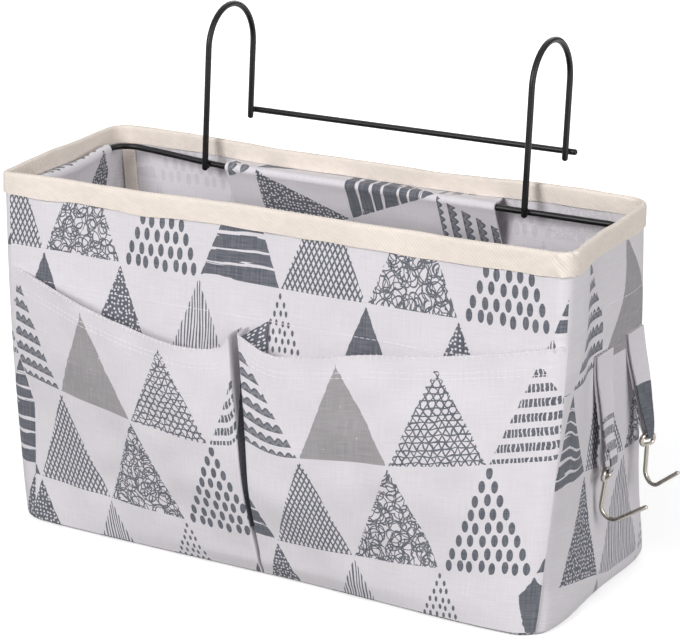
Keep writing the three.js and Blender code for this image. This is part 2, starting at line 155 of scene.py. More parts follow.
class CaddyStage(bpy.types.PropertyGroup):
    """Camera, light and floor"""

    azimuth: bpy.props.FloatProperty(
        name="Azimuth", description="Camera's turn to the right of the front", default=math.radians(29.9),
        subtype="ANGLE")
    elevation: bpy.props.FloatProperty(
        name="Elevation", description="Camera's height above the horizon", default=math.radians(17.9),
        subtype="ANGLE")
    distance: bpy.props.FloatProperty(
        name="Distance", description="Camera's distance from its target", default=1.538, unit="LENGTH")
    target: bpy.props.FloatVectorProperty(
        name="Target", description="Point that the camera looks at", default=(0.0133, 0, 0.1355),
        subtype="TRANSLATION")
    lens: bpy.props.FloatProperty(
        name="Lens", description="Focal length on a 36 mm wide sensor", default=137.65, min=1)
    sky: bpy.props.FloatProperty(
        name="Sky", description="Level of the even light from all round", default=0.15, min=0)


def cloth_thickness():
    """Thickness of the printed cloth."""
    return bpy.context.scene.caddy_cloth.thickness / MM


def motif():
    """Width and height of a printed triangle."""
    cloth = bpy.context.scene.caddy_cloth
    return cloth.motif_width / MM, cloth.motif_height / MM


# Cloth patches


def add(name, data):
    """Puts new data into the scene as an object."""
    thing = bpy.data.objects.new(name, data)
    bpy.context.scene.collection.objects.link(thing)
    return thing


def grid_of(*parts):
    """Arrays of numbers, broadcast to one grid of points or places."""
    return np.stack(np.broadcast_arrays(*parts), -1)


def run_length(path):
    """Distance along a path at each of its points."""
    return np.concatenate([[0], np.cumsum(np.linalg.norm(np.diff(path, axis=0), axis=1))])


class Fabric:
    """Collects patches of quads, each with its map in millimetres of cloth, and sews them into one piece."""

    def __init__(self):
        self.points, self.maps, self.faces, self.slots = [], [], [], []
        self.count = 0

    def patch(self, grid, cloth, slot=0, flip=False):
        """Adds a grid of points with its map: places on the print, then on the yarns where those differ."""
        rows, columns = grid.shape[:2]
        number = self.count + np.arange(rows * columns).reshape(rows, columns)
        quads = [number[:-1, :-1], number[:-1, 1:], number[1:, 1:], number[1:, :-1]]
        quads = np.stack(quads[::-1] if flip else quads, -1).reshape(-1, 4)
        self.faces.append(quads)
        self.slots.append(np.full(len(quads), slot))
        self.points.append(grid.reshape(-1, 3))
        both = cloth if cloth.shape[-1] == 4 else np.concatenate([cloth, cloth], -1)
        self.maps.append(both.reshape(-1, 4))
        self.count += rows * columns

    def sheet(self, front, back, cloth, front_slot=0, back_slot=1, edges=("foot", "top", "near", "far")):
        """Adds a cloth of two faces and its cut edges."""
        self.patch(front, cloth, front_slot)
        self.patch(back, cloth, back_slot, flip=True)
        for edge in edges:
            ends = (back, front, cloth) if edge in ("foot", "far") else (front, back, cloth)
            if edge in ("near", "far"):
                ends = [end.swapaxes(0, 1) for end in ends]
            one, two, place = (end[:1] if edge in ("foot", "near") else end[-1:] for end in ends)
            self.patch(np.concatenate([one, two]), np.concatenate([place, place]), front_slot)

    def sewn(self, name, slot, *nodes, body="caddy", finishes=(), crease=50):
        """The patches welded into one smooth piece, which rides on a body and stands for frame nodes."""
        points = np.concatenate(self.points) * MM
        key = np.round(points / (0.02 * MM)).astype(np.int64)
        _, first, weld = np.unique(key, axis=0, return_index=True, return_inverse=True)
        weld = weld.reshape(-1).tolist()
        faces, corners, slots = [], [], []
        for face, number in zip(np.concatenate(self.faces).tolist(), np.concatenate(self.slots)):
            joined = {}
            for corner in face:
                joined.setdefault(weld[corner], corner)
            if len(joined) > 2:
                faces.append(list(joined))
                corners += joined.values()
                slots.append(number)
        mesh = bpy.data.meshes.new(name)
        mesh.from_pydata(points[first].tolist(), [], faces)
        maps = np.concatenate(self.maps)[corners].astype(np.float32)
        mesh.uv_layers.new(name="print").uv.foreach_set("vector", maps[:, :2].ravel())
        mesh.uv_layers.new(name="yarn").uv.foreach_set("vector", maps[:, 2:].ravel())
        mesh.polygons.foreach_set("material_index", np.array(slots, np.int32))
        mesh.polygons.foreach_set("use_smooth", np.ones(len(mesh.polygons), bool))
        for look in finishes or FINISHES[slot]:
            mesh.materials.append(finish(look))
        mesh.update()
        mesh.validate()
        mesh.set_sharp_from_angle(angle=math.radians(crease))
        piece = add(name, mesh)
        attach(piece, body)
        if nodes:
            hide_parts(*nodes)
        return piece


# The box as a taut shape, and how its cloth settles

SIDES = {"front": (0, -1), "right": (1, 0), "back": (0, 1), "left": (-1, 0)}
LONG_SIDES = ("front", "back")


class Corner(NamedTuple):
    """How one corner of the slack box has gone out of true."""

    ways: tuple  # which way it lies in x and y
    foot_round: float  # how much rounder it is at the foot
    rim_round: float  # how much rounder it is at the rim
    press: float  # how flat its foot is pressed, from 0 to 1
    seam: float  # turn at which the first wall going round is sewn to the next
    shifts: tuple  # how far it has moved at the foot, half-way up and at the rim


CORNERS = {
    "front_left": Corner((-1, -1), 14, 1, 0, math.radians(89), ((1, 0, 0), (-1, 0, 0), (-1, 0, -3))),
    "front_right": Corner((1, -1), 4, 4, 0.6, math.radians(55), ((5, -6, 0), (7, 1, 0), (4, 2, 0))),
    "rear_right": Corner((1, 1), 4, 7, 0, math.radians(45), ((4, 0, 0), (0, 0, 0), (-2, -1, 2))),
    "rear_left": Corner((-1, 1), 4, 8, 0, math.radians(45), ((0, 0, 0), (0, 0, 0), (0, 0, 2))),
}
SIDE_ENDS = {
    "front": ("front_left", "front_right"),
    "right": ("front_right", "rear_right"),
    "back": ("rear_right", "rear_left"),
    "left": ("rear_left", "front_left"),
}
PRESS_HEIGHT = 60
WALL_STEP = 4.0


def half_sizes(side, z):
    """Half a side's length, and its distance from the middle, at a height."""
    return (half_length(z), half_depth(z)) if side in LONG_SIDES else (half_depth(z), half_length(z))


def side_corners(side):
    """The corners before and after a side."""
    return [CORNERS[name] for name in SIDE_ENDS[side]]


def straight_ends(side, z):
    """Where the straight part of a side starts and ends, and the radii there."""
    w = np.clip(z / RIM_Z, 0, 1)
    near, far = (
        CORNER_ROUND + corner.foot_round * (1 - w) ** 2.2 + corner.rim_round * w**2
        for corner in side_corners(side))
    half = half_sizes(side, z)[0]
    return near - half, half - far, near, far


def wall_along(side, share, turn, z):
    """Distance from the middle of a side, measured on its cloth."""
    start, end, near, far = straight_ends(side, z)
    return start + (end - start) * (share + 1) / 2 + np.where(turn < 0, near, far) * turn


def wall_place(side, along, z):
    """Share and turn of a distance along a side's cloth, the other way about."""
    start, end, near, far = straight_ends(side, z)
    share = 2 * (np.clip(along, start, end) - start) / (end - start) - 1
    turn = np.where(along < start, (along - start) / near, np.where(along > end, (along - end) / far, 0.0))
    return share, turn


def seam_ends(side, z):
    """Distances along a side's cloth at which it is sewn to the walls before and after it."""
    start, end, near, far = straight_ends(side, z)
    before, after = side_corners(side)
    return start - near * (math.pi / 2 - before.seam), end + far * after.seam


def wall_point(side, share, turn, inset, z):
    """Points of a taut wall: share runs from -1 to 1 along its straight part, turn goes on round its ends."""
    share, turn, inset, z = np.broadcast_arrays(*(np.asarray(v, float) for v in (share, turn, inset, z)))
    start, end, near, far = straight_ends(side, z)
    radius = np.where(turn < 0, near, far)
    press = np.where(turn < 0, *(corner.press for corner in side_corners(side)))
    press = press * np.clip(1 - z / PRESS_HEIGHT, 0, 1)
    chord = math.cos(math.pi / 4) / np.cos(np.abs(turn) - math.pi / 4)
    reach = radius * (1 + press * (chord - 1)) - inset
    along = start + (end - start) * (share + 1) / 2 + reach * np.sin(turn)
    return on_side(side, along, half_sizes(side, z)[1] - radius + reach * np.cos(turn), z)


def on_side(side, along, off, z):
    """A point that lies along a side, off from the middle of the caddy, at a height."""
    x, y = SIDES[side]
    return grid_of(-y * along + x * off, x * along + y * off, np.asarray(z, float))


def flat_point(side, along, inset, z):
    """A point beside the straight part of a taut wall."""
    return on_side(side, along, half_sizes(side, z)[1] - inset, z)


def wall_columns(side, corner_steps=6):
    """Shares and turns across a wall from the seam in one corner to the seam in the next."""
    before, after = side_corners(side)
    count = int(2 * half_sizes(side, WALL_TOP)[0] / WALL_STEP)
    near = np.linspace(before.seam - math.pi / 2, 0, corner_steps + 1)[:-1]
    far = np.linspace(0, after.seam, corner_steps + 1)[1:]
    share = np.concatenate([-np.ones(corner_steps), np.linspace(-1, 1, count), np.ones(corner_steps)])
    return share, np.concatenate([near, np.zeros(count), far])


def ripple(x, y, z, size, seed):
    """A smooth uneven field between about -1 and 1, with swells of about a size."""
    draw = np.random.default_rng(seed)
    total = np.zeros(np.broadcast(x, y, z).shape)
    for _ in range(7):
        heading = draw.normal(size=3)
        heading *= 2 * math.pi / size / np.linalg.norm(heading) * draw.uniform(0.6, 1.5)
        total = total + np.sin(x * heading[0] + y * heading[1] + z * heading[2] + draw.uniform(0, 6.28))
    return total / 3.5


def rise_between(low, high, value):
    """A smooth step from 0 at low to 1 at high."""
    t = np.clip((value - low) / (high - low), 0, 1)
    return t * t * (3 - 2 * t)


def smooth_line(points, t):
    """A line through points of place and height, without overshoot."""
    place, height = np.array(points, float).T
    slope = np.gradient(height, place)
    i = np.clip(np.searchsorted(place, t, side="right") - 1, 0, len(place) - 2)
    width = place[i + 1] - place[i]
    s = np.clip((t - place[i]) / width, 0, 1)
    a, b = height[i], height[i + 1]
    leave, reach = (slope[end] * width - b + a for end in (i, i + 1))
    return a + (b - a) * s + s * (1 - s) * ((1 - s) * leave - s * reach)


FRONT_SPREAD, END_SPREAD, SPREAD_HEIGHT = 4.0, 10.0, 33.0
END_BELLY, END_FOLD, RIM_WAVE = 0.3, 2.4, 0.8
SLACK_RISE, FOLD_RISE, FOLD_FALL, CORNER_RISE = (0, 0.12), (0, 0.3), (1, 0.8), (0.05, 1)

# Unevenness of the cloth: the size of its swells and the seed that draws them
WALL_SWELL, WALL_CREASE, END_CREASE, RIM_SWELL = (95, 3), (42, 11), (50, 7), (120, 17)
BASE_SWELL, TAPE_FACE, TAPE_EDGE, CORNER_TAPE = (60, 5), (24, 67), (45, 61), (26, 23)
CASING_SWELL, POCKET_SWELL, POCKET_CREASE, STRAP_SWELL = (34, 31), (46, 41), (26, 43), (30, 53)


def settle(points):
    """Points of the taut box moved to where the slack cloth hangs."""
    cloth = bpy.context.scene.caddy_cloth
    x, y, z = points[..., 0], points[..., 1], points[..., 2]
    a = np.clip(x / half_length(z), -1.1, 1.1)
    b = np.clip(y / half_depth(z), -1.2, 1.2)
    w = np.clip(z / RIM_Z, 0, 1)
    slack = ripple(x, y, z, *WALL_SWELL) + 0.5 * ripple(x, y, z, *WALL_CREASE)
    swell = cloth.belly / MM * 4 * w * (1 - w) + cloth.ripple / MM * slack * rise_between(*SLACK_RISE, w)
    fold = END_FOLD * ripple(0.0, y, z * 0.25, *END_CREASE)
    fold = fold * rise_between(*FOLD_RISE, w) * rise_between(*FOLD_FALL, w)
    spread = np.exp(-((z / SPREAD_HEIGHT) ** 2))
    along, across = np.clip(a, -1, 1) ** 8, np.clip(b, -1, 1) ** 4
    dx = np.sign(a) * np.abs(a) ** 3 * (END_BELLY * swell + fold) * (1 - across)
    dx = dx + END_SPREAD * spread * np.maximum(a, 0) ** 3 * (1 - across)
    dy = np.sign(b) * np.abs(b) ** 3 * swell * (1 - along)
    dy = dy - FRONT_SPREAD * spread * np.maximum(-b, 0) ** 3 * (1 - along)
    moved = points + np.stack([dx, dy, w**2 * RIM_WAVE * ripple(x, y, 0.0, *RIM_SWELL)], -1)
    for corner in CORNERS.values():
        way_x, way_y = corner.ways
        weight = rise_between(*CORNER_RISE, way_x * a) * rise_between(*CORNER_RISE, way_y * b)
        levels = ((1 - w) * (1 - 2 * w), 4 * w * (1 - w), w * (2 * w - 1))
        shift = sum(np.multiply.outer(level, np.array(at, float)) for level, at in zip(levels, corner.shifts))
        moved = moved + weight[..., None] * shift
    return moved


# Node materials

YARN_PITCH, SLUB = 1.3, (14, 0.7)


def put(tree, kind, *links, out=0, inputs=None, **settings):
    """Adds a node, joins links or values to its inputs and returns an output. The second word of a kind, if
    it has one, is the node's operation."""
    kind, _, operation = kind.partition(" ")
    node = tree.nodes.new("ShaderNode" + kind)
    if operation:
        node.operation = operation
    for name, value in settings.items():
        setattr(node, name, value)
    for place, link in [*enumerate(links), *(inputs or {}).items()]:
        if isinstance(link, bpy.types.NodeSocket):
            tree.links.new(link, node.inputs[place])
        else:
            node.inputs[place].default_value = link
    return node.outputs[out] if node.outputs else node


def wobble(tree, place, pitch, detail=2.0, out=0):
    """Uneven values about 0.5 with swells of a pitch."""
    at = put(tree, "VectorMath MULTIPLY", place, (1 / pitch[0], 1 / pitch[1], 1))
    return put(tree, "TexNoise", at, out=out, noise_dimensions="2D", inputs={"Scale": 1.0, "Detail": detail})


def lattice(tree, place, pitch, mess, shift=0.0):
    """Distance to the nearest point of an uneven grid of a pitch, in grid steps."""
    at = put(tree, "VectorMath MULTIPLY_ADD", place, (1 / pitch[0], 1 / pitch[1], 1), (shift, shift * 0.7, 0))
    return put(tree, "TexVoronoi", at, voronoi_dimensions="2D", inputs={"Scale": 1.0, "Randomness": mess})


def threads(tree, place):
    """Height of a plain weave with thick and thin yarns. Real yarns lie about 0.5 mm apart, and are drawn
    coarser so that they show."""
    wave = put(tree, "VectorMath MULTIPLY", place, (2 * math.pi / YARN_PITCH,) * 3)
    wave = put(tree, "VectorMath SINE", wave)
    x, y = (put(tree, "SeparateXYZ", wave, out=axis) for axis in (0, 1))
    weave = put(tree, "Math MULTIPLY", x, y)
    weft, warp = (wobble(tree, place, pitch, 1.0) for pitch in (SLUB, SLUB[::-1]))
    slub = put(tree, "Math ADD", weft, warp)
    return put(tree, "Math MULTIPLY_ADD", weave, 0.15, slub)


# The print: rows of triangles, each row half a motif along from the row above, filled with drawn textures.
# Each filling gives 1 where there is ink. Its sizes are millimetres of cloth.

NET = ((1 / 3.3, 1 / 5.2), (1 / 3.3, -1 / 5.2))
MESH_PITCH, MESH_SWAY = 3.6, 2.6
MESH_TURNS = [math.radians(turn) for turn in (33, 92, 148)]
MESH = [(math.cos(turn) / MESH_PITCH, math.sin(turn) / MESH_PITCH) for turn in MESH_TURNS]
LOOPS = (
    (0.0, 11.2, 6.8), (0.9, 12.2, 7.8), (1.8, 10.4, 6.8), (2.6, 12.8, 8.0), (0.5, 9.8, 7.6), (2.2, 13.2, 8.6))
LOOP_RADIUS, LOOP_LINE = 0.43, 0.037
BRUSH_STROKE, BRUSH_WANDER, BRUSH_DRYNESS, BRUSH_EDGE = 7.2, 7.0, 2.6, 0.55
HATCH_STEP, HATCH_WANDER, HATCH_INK = 2.0, 1.8, 0.45
SCALLOP, SCALLOP_RISE, SCALLOP_INK = 5.4, 0.3, 0.34
SCALLOP_VEIN_AT, SCALLOP_VEIN_HALF, SCALLOP_VEIN_FADE = 0.04, 0.13, 0.16
TICK_STEP, TICK_SHIFT, TICK_WANDER, TICK_HEIGHT, TICK_INK = 2.2, 0.37, 1.2, 0.57, 0.7
BANDS = 7
EDGE_ROUGHNESS, EDGE_REACH, BASE_LINE = 0.05, 1.03, 0.035


def fill_lines(tree, place, ways, thin):
    """Sets of crossing lines. A way is the direction across a set, in lines to the millimetre."""
    nearest = 1.0
    for way in ways:
        line = put(tree, "VectorMath DOT_PRODUCT", place, (*way, 0), out=1)
        off = put(tree, "Math PINGPONG", line, 0.5)
        nearest = put(tree, "Math MINIMUM", off, nearest)
    return put(tree, "Math LESS_THAN", nearest, thin)


def fill_mesh(tree, place, thin):
    """Three sets of crossing lines, drawn by hand, that leave small triangles."""
    sway = wobble(tree, place, (7, 7), 1.0, out=1)
    bent = put(tree, "VectorMath MULTIPLY_ADD", sway, (MESH_SWAY, MESH_SWAY, 0), place)
    return fill_lines(tree, bent, MESH, thin)


def fill_loops(tree, place):
    """Long loops scribbled over each other, one layer for each turn, length and width."""
    nearest = 1.0
    for turn, length, width in LOOPS:
        at = put(tree, "VectorRotate", place, inputs={"Angle": turn}, rotation_type="Z_AXIS")
        distance = lattice(tree, at, (length, width), 1.0, 3 * turn)
        off = put(tree, "Math SUBTRACT", distance, LOOP_RADIUS)
        off = put(tree, "Math ABSOLUTE", off)
        nearest = put(tree, "Math MINIMUM", off, nearest)
    return put(tree, "Math LESS_THAN", nearest, LOOP_LINE)


def fill_dots(tree, place, rows, size):
    """Rows of upright dots of a size, with one more dot in each row from the tip down, each drawn whole."""
    width, tall = motif()
    half = width / 2
    spacing, first = width / (rows + 0.3), rows / 2 - 0.25
    step = spacing / half
    across, rise = triangle_cell(tree, place)[2:]
    local = put(tree, "CombineXYZ", across, rise)
    x = put(tree, "VectorMath DOT_PRODUCT", local, (half / spacing, -rows / 2, 0), out=1)
    x = put(tree, "Math ADD", x, first)
    at = put(tree, "CombineXYZ", x, put(tree, "Math MULTIPLY_ADD", rise, float(rows), -0.5))
    middle = put(tree, "TexVoronoi", at, voronoi_dimensions="2D", out="Position",
                 inputs={"Scale": 1.0, "Randomness": 0.2})
    off = put(tree, "VectorMath SUBTRACT", at, middle)
    aside = put(tree, "VectorMath DOT_PRODUCT", off, (2 * spacing / size[0], spacing / size[0], 0), out=1)
    above = put(tree, "VectorMath DOT_PRODUCT", off, (0, 2 * tall / rows / size[1], 0), out=1)
    far = put(tree, "VectorMath LENGTH", put(tree, "CombineXYZ", aside, above), out=1)
    dot = put(tree, "Math LESS_THAN", far, 1.0)
    share = put(tree, "VectorMath DOT_PRODUCT", middle, (step, step / 2, 0), out=1)
    share = put(tree, "Math ADD", share, step * (0.25 - first))
    share = put(tree, "Math ABSOLUTE", share)
    up = put(tree, "SeparateXYZ", middle, out=1)
    edge = put(tree, "Math MULTIPLY_ADD", up, 1 / rows, share)
    for inside in (put(tree, "Math LESS_THAN", edge, 1.0), put(tree, "Math GREATER_THAN", up, -0.5)):
        dot = put(tree, "Math MULTIPLY", dot, inside)
    return dot


def fill_brush(tree, place):
    """Broad level brush strokes that run dry."""
    wander, streak = (wobble(tree, place, pitch) for pitch in ((60, 12), (34, 1.6)))
    v = put(tree, "SeparateXYZ", place, out=1)
    phase = put(tree, "Math MULTIPLY", v, 2 * math.pi / BRUSH_STROKE)
    phase = put(tree, "Math MULTIPLY_ADD", wander, BRUSH_WANDER, phase)
    stroke = put(tree, "Math SINE", phase)
    stroke = put(tree, "Math MULTIPLY_ADD", streak, BRUSH_DRYNESS, stroke)
    return put(tree, "Math GREATER_THAN", stroke, BRUSH_EDGE)


def fill_solid(tree, place):
    """Ink all over, a little thin here and there."""
    return put(tree, "Math GREATER_THAN", wobble(tree, place, (3, 3)), 0.2)


def fill_flecks(tree, place):
    """Ink with light flecks in rows."""
    return put(tree, "Math GREATER_THAN", lattice(tree, place, (2.5, 2.1), 0.6), 0.26)


def fill_hatch(tree, place):
    """Upright pen strokes."""
    line = put(tree, "Math MULTIPLY", put(tree, "SeparateXYZ", place), 1 / HATCH_STEP)
    line = put(tree, "Math MULTIPLY_ADD", wobble(tree, place, (9, 40)), HATCH_WANDER, line)
    line = put(tree, "Math FRACT", line)
    return put(tree, "Math LESS_THAN", line, HATCH_INK)


def bands(tree, place):
    """Place along the bands that cross a triangle, and place up it in bands."""
    u, v = (put(tree, "SeparateXYZ", place, out=axis) for axis in (0, 1))
    return u, put(tree, "Math MULTIPLY", v, BANDS / motif()[1])


def fill_scallops(tree, place):
    """Bands with a scalloped upper edge."""
    u, band = bands(tree, place)
    band = put(tree, "Math FRACT", band)
    hump = put(tree, "Math MULTIPLY", u, math.pi / SCALLOP)
    hump = put(tree, "Math SINE", hump)
    hump = put(tree, "Math ABSOLUTE", hump)
    band = put(tree, "Math MULTIPLY_ADD", hump, -SCALLOP_RISE, band)
    whole = put(tree, "Math LESS_THAN", band, SCALLOP_INK)
    vein = put(tree, "Math COMPARE", band, SCALLOP_VEIN_AT, SCALLOP_VEIN_HALF)
    return put(tree, "Math MULTIPLY_ADD", vein, -SCALLOP_VEIN_FADE, whole)


def fill_ticks(tree, place):
    """Rows of short upright ticks."""
    u, row = bands(tree, place)
    number = put(tree, "Math FLOOR", row)
    row = put(tree, "Math FRACT", row)
    tick = put(tree, "Math MULTIPLY", u, 1 / TICK_STEP)
    tick = put(tree, "Math MULTIPLY_ADD", number, TICK_SHIFT, tick)
    tick = put(tree, "Math MULTIPLY_ADD", wobble(tree, place, (5, 5)), TICK_WANDER, tick)
    tick = put(tree, "Math FRACT", tick)
    on_row = put(tree, "Math LESS_THAN", row, TICK_HEIGHT)
    on_tick = put(tree, "Math LESS_THAN", tick, TICK_INK)
    return put(tree, "Math MULTIPLY", on_row, on_tick)


FILLS = (
    (fill_lines, NET, 0.18), (fill_loops,), (fill_dots, 8, (3.7, 6.0)), (fill_brush,),
    (fill_solid,), (fill_flecks,), (fill_hatch,), (fill_dots, 13, (1.8, 2.9)),
    (fill_scallops,), (fill_solid,), (fill_mesh, 0.11), (fill_ticks,),
)
GREY_FILL = 9
FILLS_IN_ROW = 4
ROW_KINDS = 3


def triangle_cell(tree, place):
    """Row and column of the print at a place, and shares across its triangle, from -1 to 1, and up it."""
    width, height = motif()
    cells = put(tree, "VectorMath MULTIPLY", place, (1 / width, 1 / height, 1))
    u, v = (put(tree, "SeparateXYZ", cells, out=axis) for axis in (0, 1))
    row = put(tree, "Math FLOOR", v)
    rise = put(tree, "Math FRACT", v)
    row = put(tree, "Math MULTIPLY", row, -1.0)
    along = put(tree, "Math MULTIPLY_ADD", row, -0.5, u)
    column = put(tree, "Math FLOOR", along)
    across = put(tree, "Math FRACT", along)
    return row, column, put(tree, "Math MULTIPLY_ADD", across, 2.0, -1.0), rise


def triangle_print(tree, place):
    """Ink of the print, and how much of it is the warm grey."""
    row, column, across, rise = triangle_cell(tree, place)
    edge = put(tree, "Math ABSOLUTE", across)
    edge = put(tree, "Math ADD", edge, rise)
    edge = put(tree, "Math MULTIPLY_ADD", wobble(tree, place, (4, 4)), EDGE_ROUGHNESS, edge)
    inside = put(tree, "Math LESS_THAN", edge, EDGE_REACH)
    above_base = put(tree, "Math GREATER_THAN", rise, BASE_LINE)
    inside = put(tree, "Math MULTIPLY", inside, above_base)
    repeat = put(tree, "Math MULTIPLY", row, 1 / FILLS_IN_ROW)
    repeat = put(tree, "Math FLOOR", repeat)
    column = put(tree, "Math MULTIPLY_ADD", repeat, 2.0, column)
    column = put(tree, "Math FLOORED_MODULO", column, float(FILLS_IN_ROW))
    kind = put(tree, "Math FLOORED_MODULO", row, float(ROW_KINDS))
    kind = put(tree, "Math MULTIPLY_ADD", kind, float(FILLS_IN_ROW), column)
    cut = whole = 0.0
    for number, (fill, *sizes) in enumerate(FILLS):
        chosen = put(tree, "Math COMPARE", kind, float(number), 0.5)
        ink = fill(tree, place, *sizes)
        if fill is fill_dots:
            whole = put(tree, "Math MULTIPLY_ADD", ink, chosen, whole)
        else:
            cut = put(tree, "Math MULTIPLY_ADD", ink, chosen, cut)
    grey = put(tree, "Math COMPARE", kind, float(GREY_FILL), 0.5)
    return put(tree, "Math MULTIPLY_ADD", cut, inside, whole), grey


# Finishes


def surface(tree, colour, tone, looks, relief=None):
    """Joins up a surface: its colour, the value that shades it with its span, its looks, and the height,
    strength and depth in millimetres of its relief."""
    shade = put(tree, "MapRange", *tone)
    looks = {"Base Color": put(tree, "VectorMath MULTIPLY", colour, shade), **looks}
    if relief:
        height, strength, depth = relief
        looks["Normal"] = put(tree, "Bump", inputs={
            "Strength": strength, "Distance": depth * MM, "Height": height})
    put(tree, "OutputMaterial", put(tree, "BsdfPrincipled", inputs=looks))


def twist(tree, slope, pitch):
    """Slanting ribs along a tape or thread, between -1 and 1."""
    u, v = (put(tree, "SeparateXYZ", put(tree, "UVMap", uv_map="yarn"), out=axis) for axis in (0, 1))
    rib = put(tree, "Math MULTIPLY_ADD", v, slope, u)
    rib = put(tree, "Math MULTIPLY", rib, 2 * math.pi / pitch)
    return put(tree, "Math SINE", rib)


def cotton_linen(tree, strength):
    """Plain-woven cotton-linen, screen printed: dull and slightly fuzzy, with thick and thin yarns that break
    up the flat ink. The strength of the print is 1 on its face and faint on its reverse."""
    cloth = bpy.context.scene.caddy_cloth
    ink, grey = triangle_print(tree, put(tree, "UVMap", uv_map="print"))
    height = threads(tree, put(tree, "UVMap", uv_map="yarn"))
    printed = put(tree, "Mix", data_type="RGBA", out=2, inputs={
        0: grey, 6: (*cloth.ink, 1), 7: (*cloth.grey, 1)})
    worn = put(tree, "MapRange", height, 0.5, 1.5, strength, 0.82 * strength)
    ink = put(tree, "Math MULTIPLY", ink, worn)
    dyed = put(tree, "Mix", data_type="RGBA", out=2, inputs={0: ink, 6: (*cloth.ground, 1), 7: printed})
    looks = {"Roughness": 0.88, "IOR": 1.47, "Sheen Weight": 0.12, "Sheen Roughness": 0.5}
    surface(tree, dyed, (height, 0.4, 1.6, 0.93, 1.05), looks, (height, 0.35, 0.25))


def twill_tape(tree):
    """Unbleached cotton twill tape: matt cream with fine slanting ribs. Real ribs lie about 1 mm apart, and
    are drawn 2.2 mm apart so that they show."""
    place = put(tree, "UVMap", uv_map="yarn")
    height = put(tree, "Math MULTIPLY_ADD", twist(tree, 0.9, 2.2), 0.3, wobble(tree, place, (6, 3)))
    soil = put(tree, "MapRange", wobble(tree, place, (60, 40)), 0.35, 0.7, 1.0, 0.95)
    cream = put(tree, "VectorMath MULTIPLY", tuple(bpy.context.scene.caddy_tape.colour), soil)
    looks = {"Roughness": 0.9, "IOR": 1.47, "Sheen Weight": 0.15, "Sheen Roughness": 0.5}
    surface(tree, cream, (height, 0.1, 0.9, 0.93, 1.04), looks, (height, 0.5, 0.3))


def spun_thread(tree):
    """Spun polyester sewing thread: off-white, a little shinier than the cloth, with a visible twist."""
    tone = (twist(tree, 1.0, 0.6), -1.0, 1.0, 0.88, 1.0)
    surface(tree, tuple(linear("#ECE9ED")), tone, {"Roughness": 0.6, "IOR": 1.54})


def powder_coat(tree):
    """Black powder-coated steel wire: satin, with the faint orange peel of baked powder, 0.8 mm across."""
    place = put(tree, "TexCoord", out=3)
    peel = put(tree, "TexNoise", place, inputs={"Scale": 1 / (0.8 * MM), "Detail": 1.0})
    patch = put(tree, "TexNoise", place, inputs={"Scale": 1 / (14 * MM), "Detail": 2.0})
    rough = put(tree, "MapRange", patch, 0.3, 0.7, 0.3, 0.42)
    looks = {"Roughness": rough, "IOR": 1.5, "Specular IOR Level": 0.3}
    black = tuple(bpy.context.scene.caddy_wire.black)
    surface(tree, black, (patch, 0.3, 0.7, 0.8, 1.3), looks, (peel, 0.12, 0.1))


def nickel_plate(tree):
    """Nickel-plated steel wire, drawn and bent: warm bright metal with fine drawn lines and dull patches."""
    place = put(tree, "UVMap", uv_map="yarn")
    lines, patch = (wobble(tree, place, pitch) for pitch in ((9, 0.35), (5, 5)))
    rough = put(tree, "MapRange", patch, 0.3, 0.75, 0.16, 0.3)
    nickel = tuple(bpy.context.scene.caddy_wire.nickel)
    surface(tree, nickel, (lines, 0.3, 0.7, 0.92, 1.0), {"Roughness": rough, "Metallic": 1.0})


def polypropylene(tree):
    """Extruded polypropylene sheet: milky white, waxy, with faint flutes 4 mm apart along its length."""
    place = put(tree, "TexCoord", out=3)
    flute = put(tree, "Math MULTIPLY", put(tree, "SeparateXYZ", place, out=1), 2 * math.pi / (4 * MM))
    flute = put(tree, "Math SINE", flute)
    cloud = put(tree, "TexNoise", place, inputs={"Scale": 1 / (30 * MM), "Detail": 2.0})
    tone = (cloud, 0.3, 0.7, 0.95, 1.02)
    surface(tree, tuple(linear("#E4E2DC")), tone, {"Roughness": 0.45, "IOR": 1.49}, (flute, 0.2, 0.15))


def white_paper(tree):
    """White background paper: plain white to the camera, in shiny things and through clear ones. It throws
    less light back than that, so undersides stay dim."""
    seen = put(tree, "LightPath")
    for ray in ("Is Glossy Ray", "Is Transmission Ray"):
        seen = put(tree, "Math MAXIMUM", seen, put(tree, "LightPath", out=ray))
    away = put(tree, "VectorMath LENGTH", put(tree, "TexCoord", out=3), out=1)
    glow = put(tree, "MapRange", away, 0.2, 0.8, 0.5, 0.9)
    glow = put(tree, "Math MULTIPLY", seen, glow)
    shade = put(tree, "Mix", data_type="RGBA", out=2, inputs={
        0: seen, 6: (*linear("#6E6E6E"), 1), 7: (*linear("#EDEDED"), 1)})
    light = put(tree, "Emission", inputs={"Color": (1, 1, 1, 1), "Strength": glow})
    put(tree, "OutputMaterial", put(tree, "AddShader", put(tree, "BsdfDiffuse", shade), light))


MAKERS = {
    "printed_cotton_linen": lambda tree: cotton_linen(tree, 1.0),
    "cotton_linen_reverse": lambda tree: cotton_linen(tree, 0.13),
    "woven_cotton_twill_tape": twill_tape,
    "spun_polyester_thread": spun_thread,
    "powder_coated_steel_wire": powder_coat,
    "nickel_plated_steel_wire": nickel_plate,
    "extruded_polypropylene_sheet": polypropylene,
    "white_background_paper": white_paper,
}
FINISHES = {
    "printed_cloth": ("printed_cotton_linen", "cotton_linen_reverse"),
    "twill_tape": ("woven_cotton_twill_tape",),
    "black_wire": ("powder_coated_steel_wire",),
    "nickel_wire": ("nickel_plated_steel_wire",),
    "board_plastic": ("extruded_polypropylene_sheet",),
}


def finish(name):
    """A material, made once and used again."""
    material = bpy.data.materials.get(name)
    if material is None:
        material = bpy.data.materials.new(name)
        material.use_nodes = True
        material.node_tree.nodes.clear()
        MAKERS[name](material.node_tree)
    return material


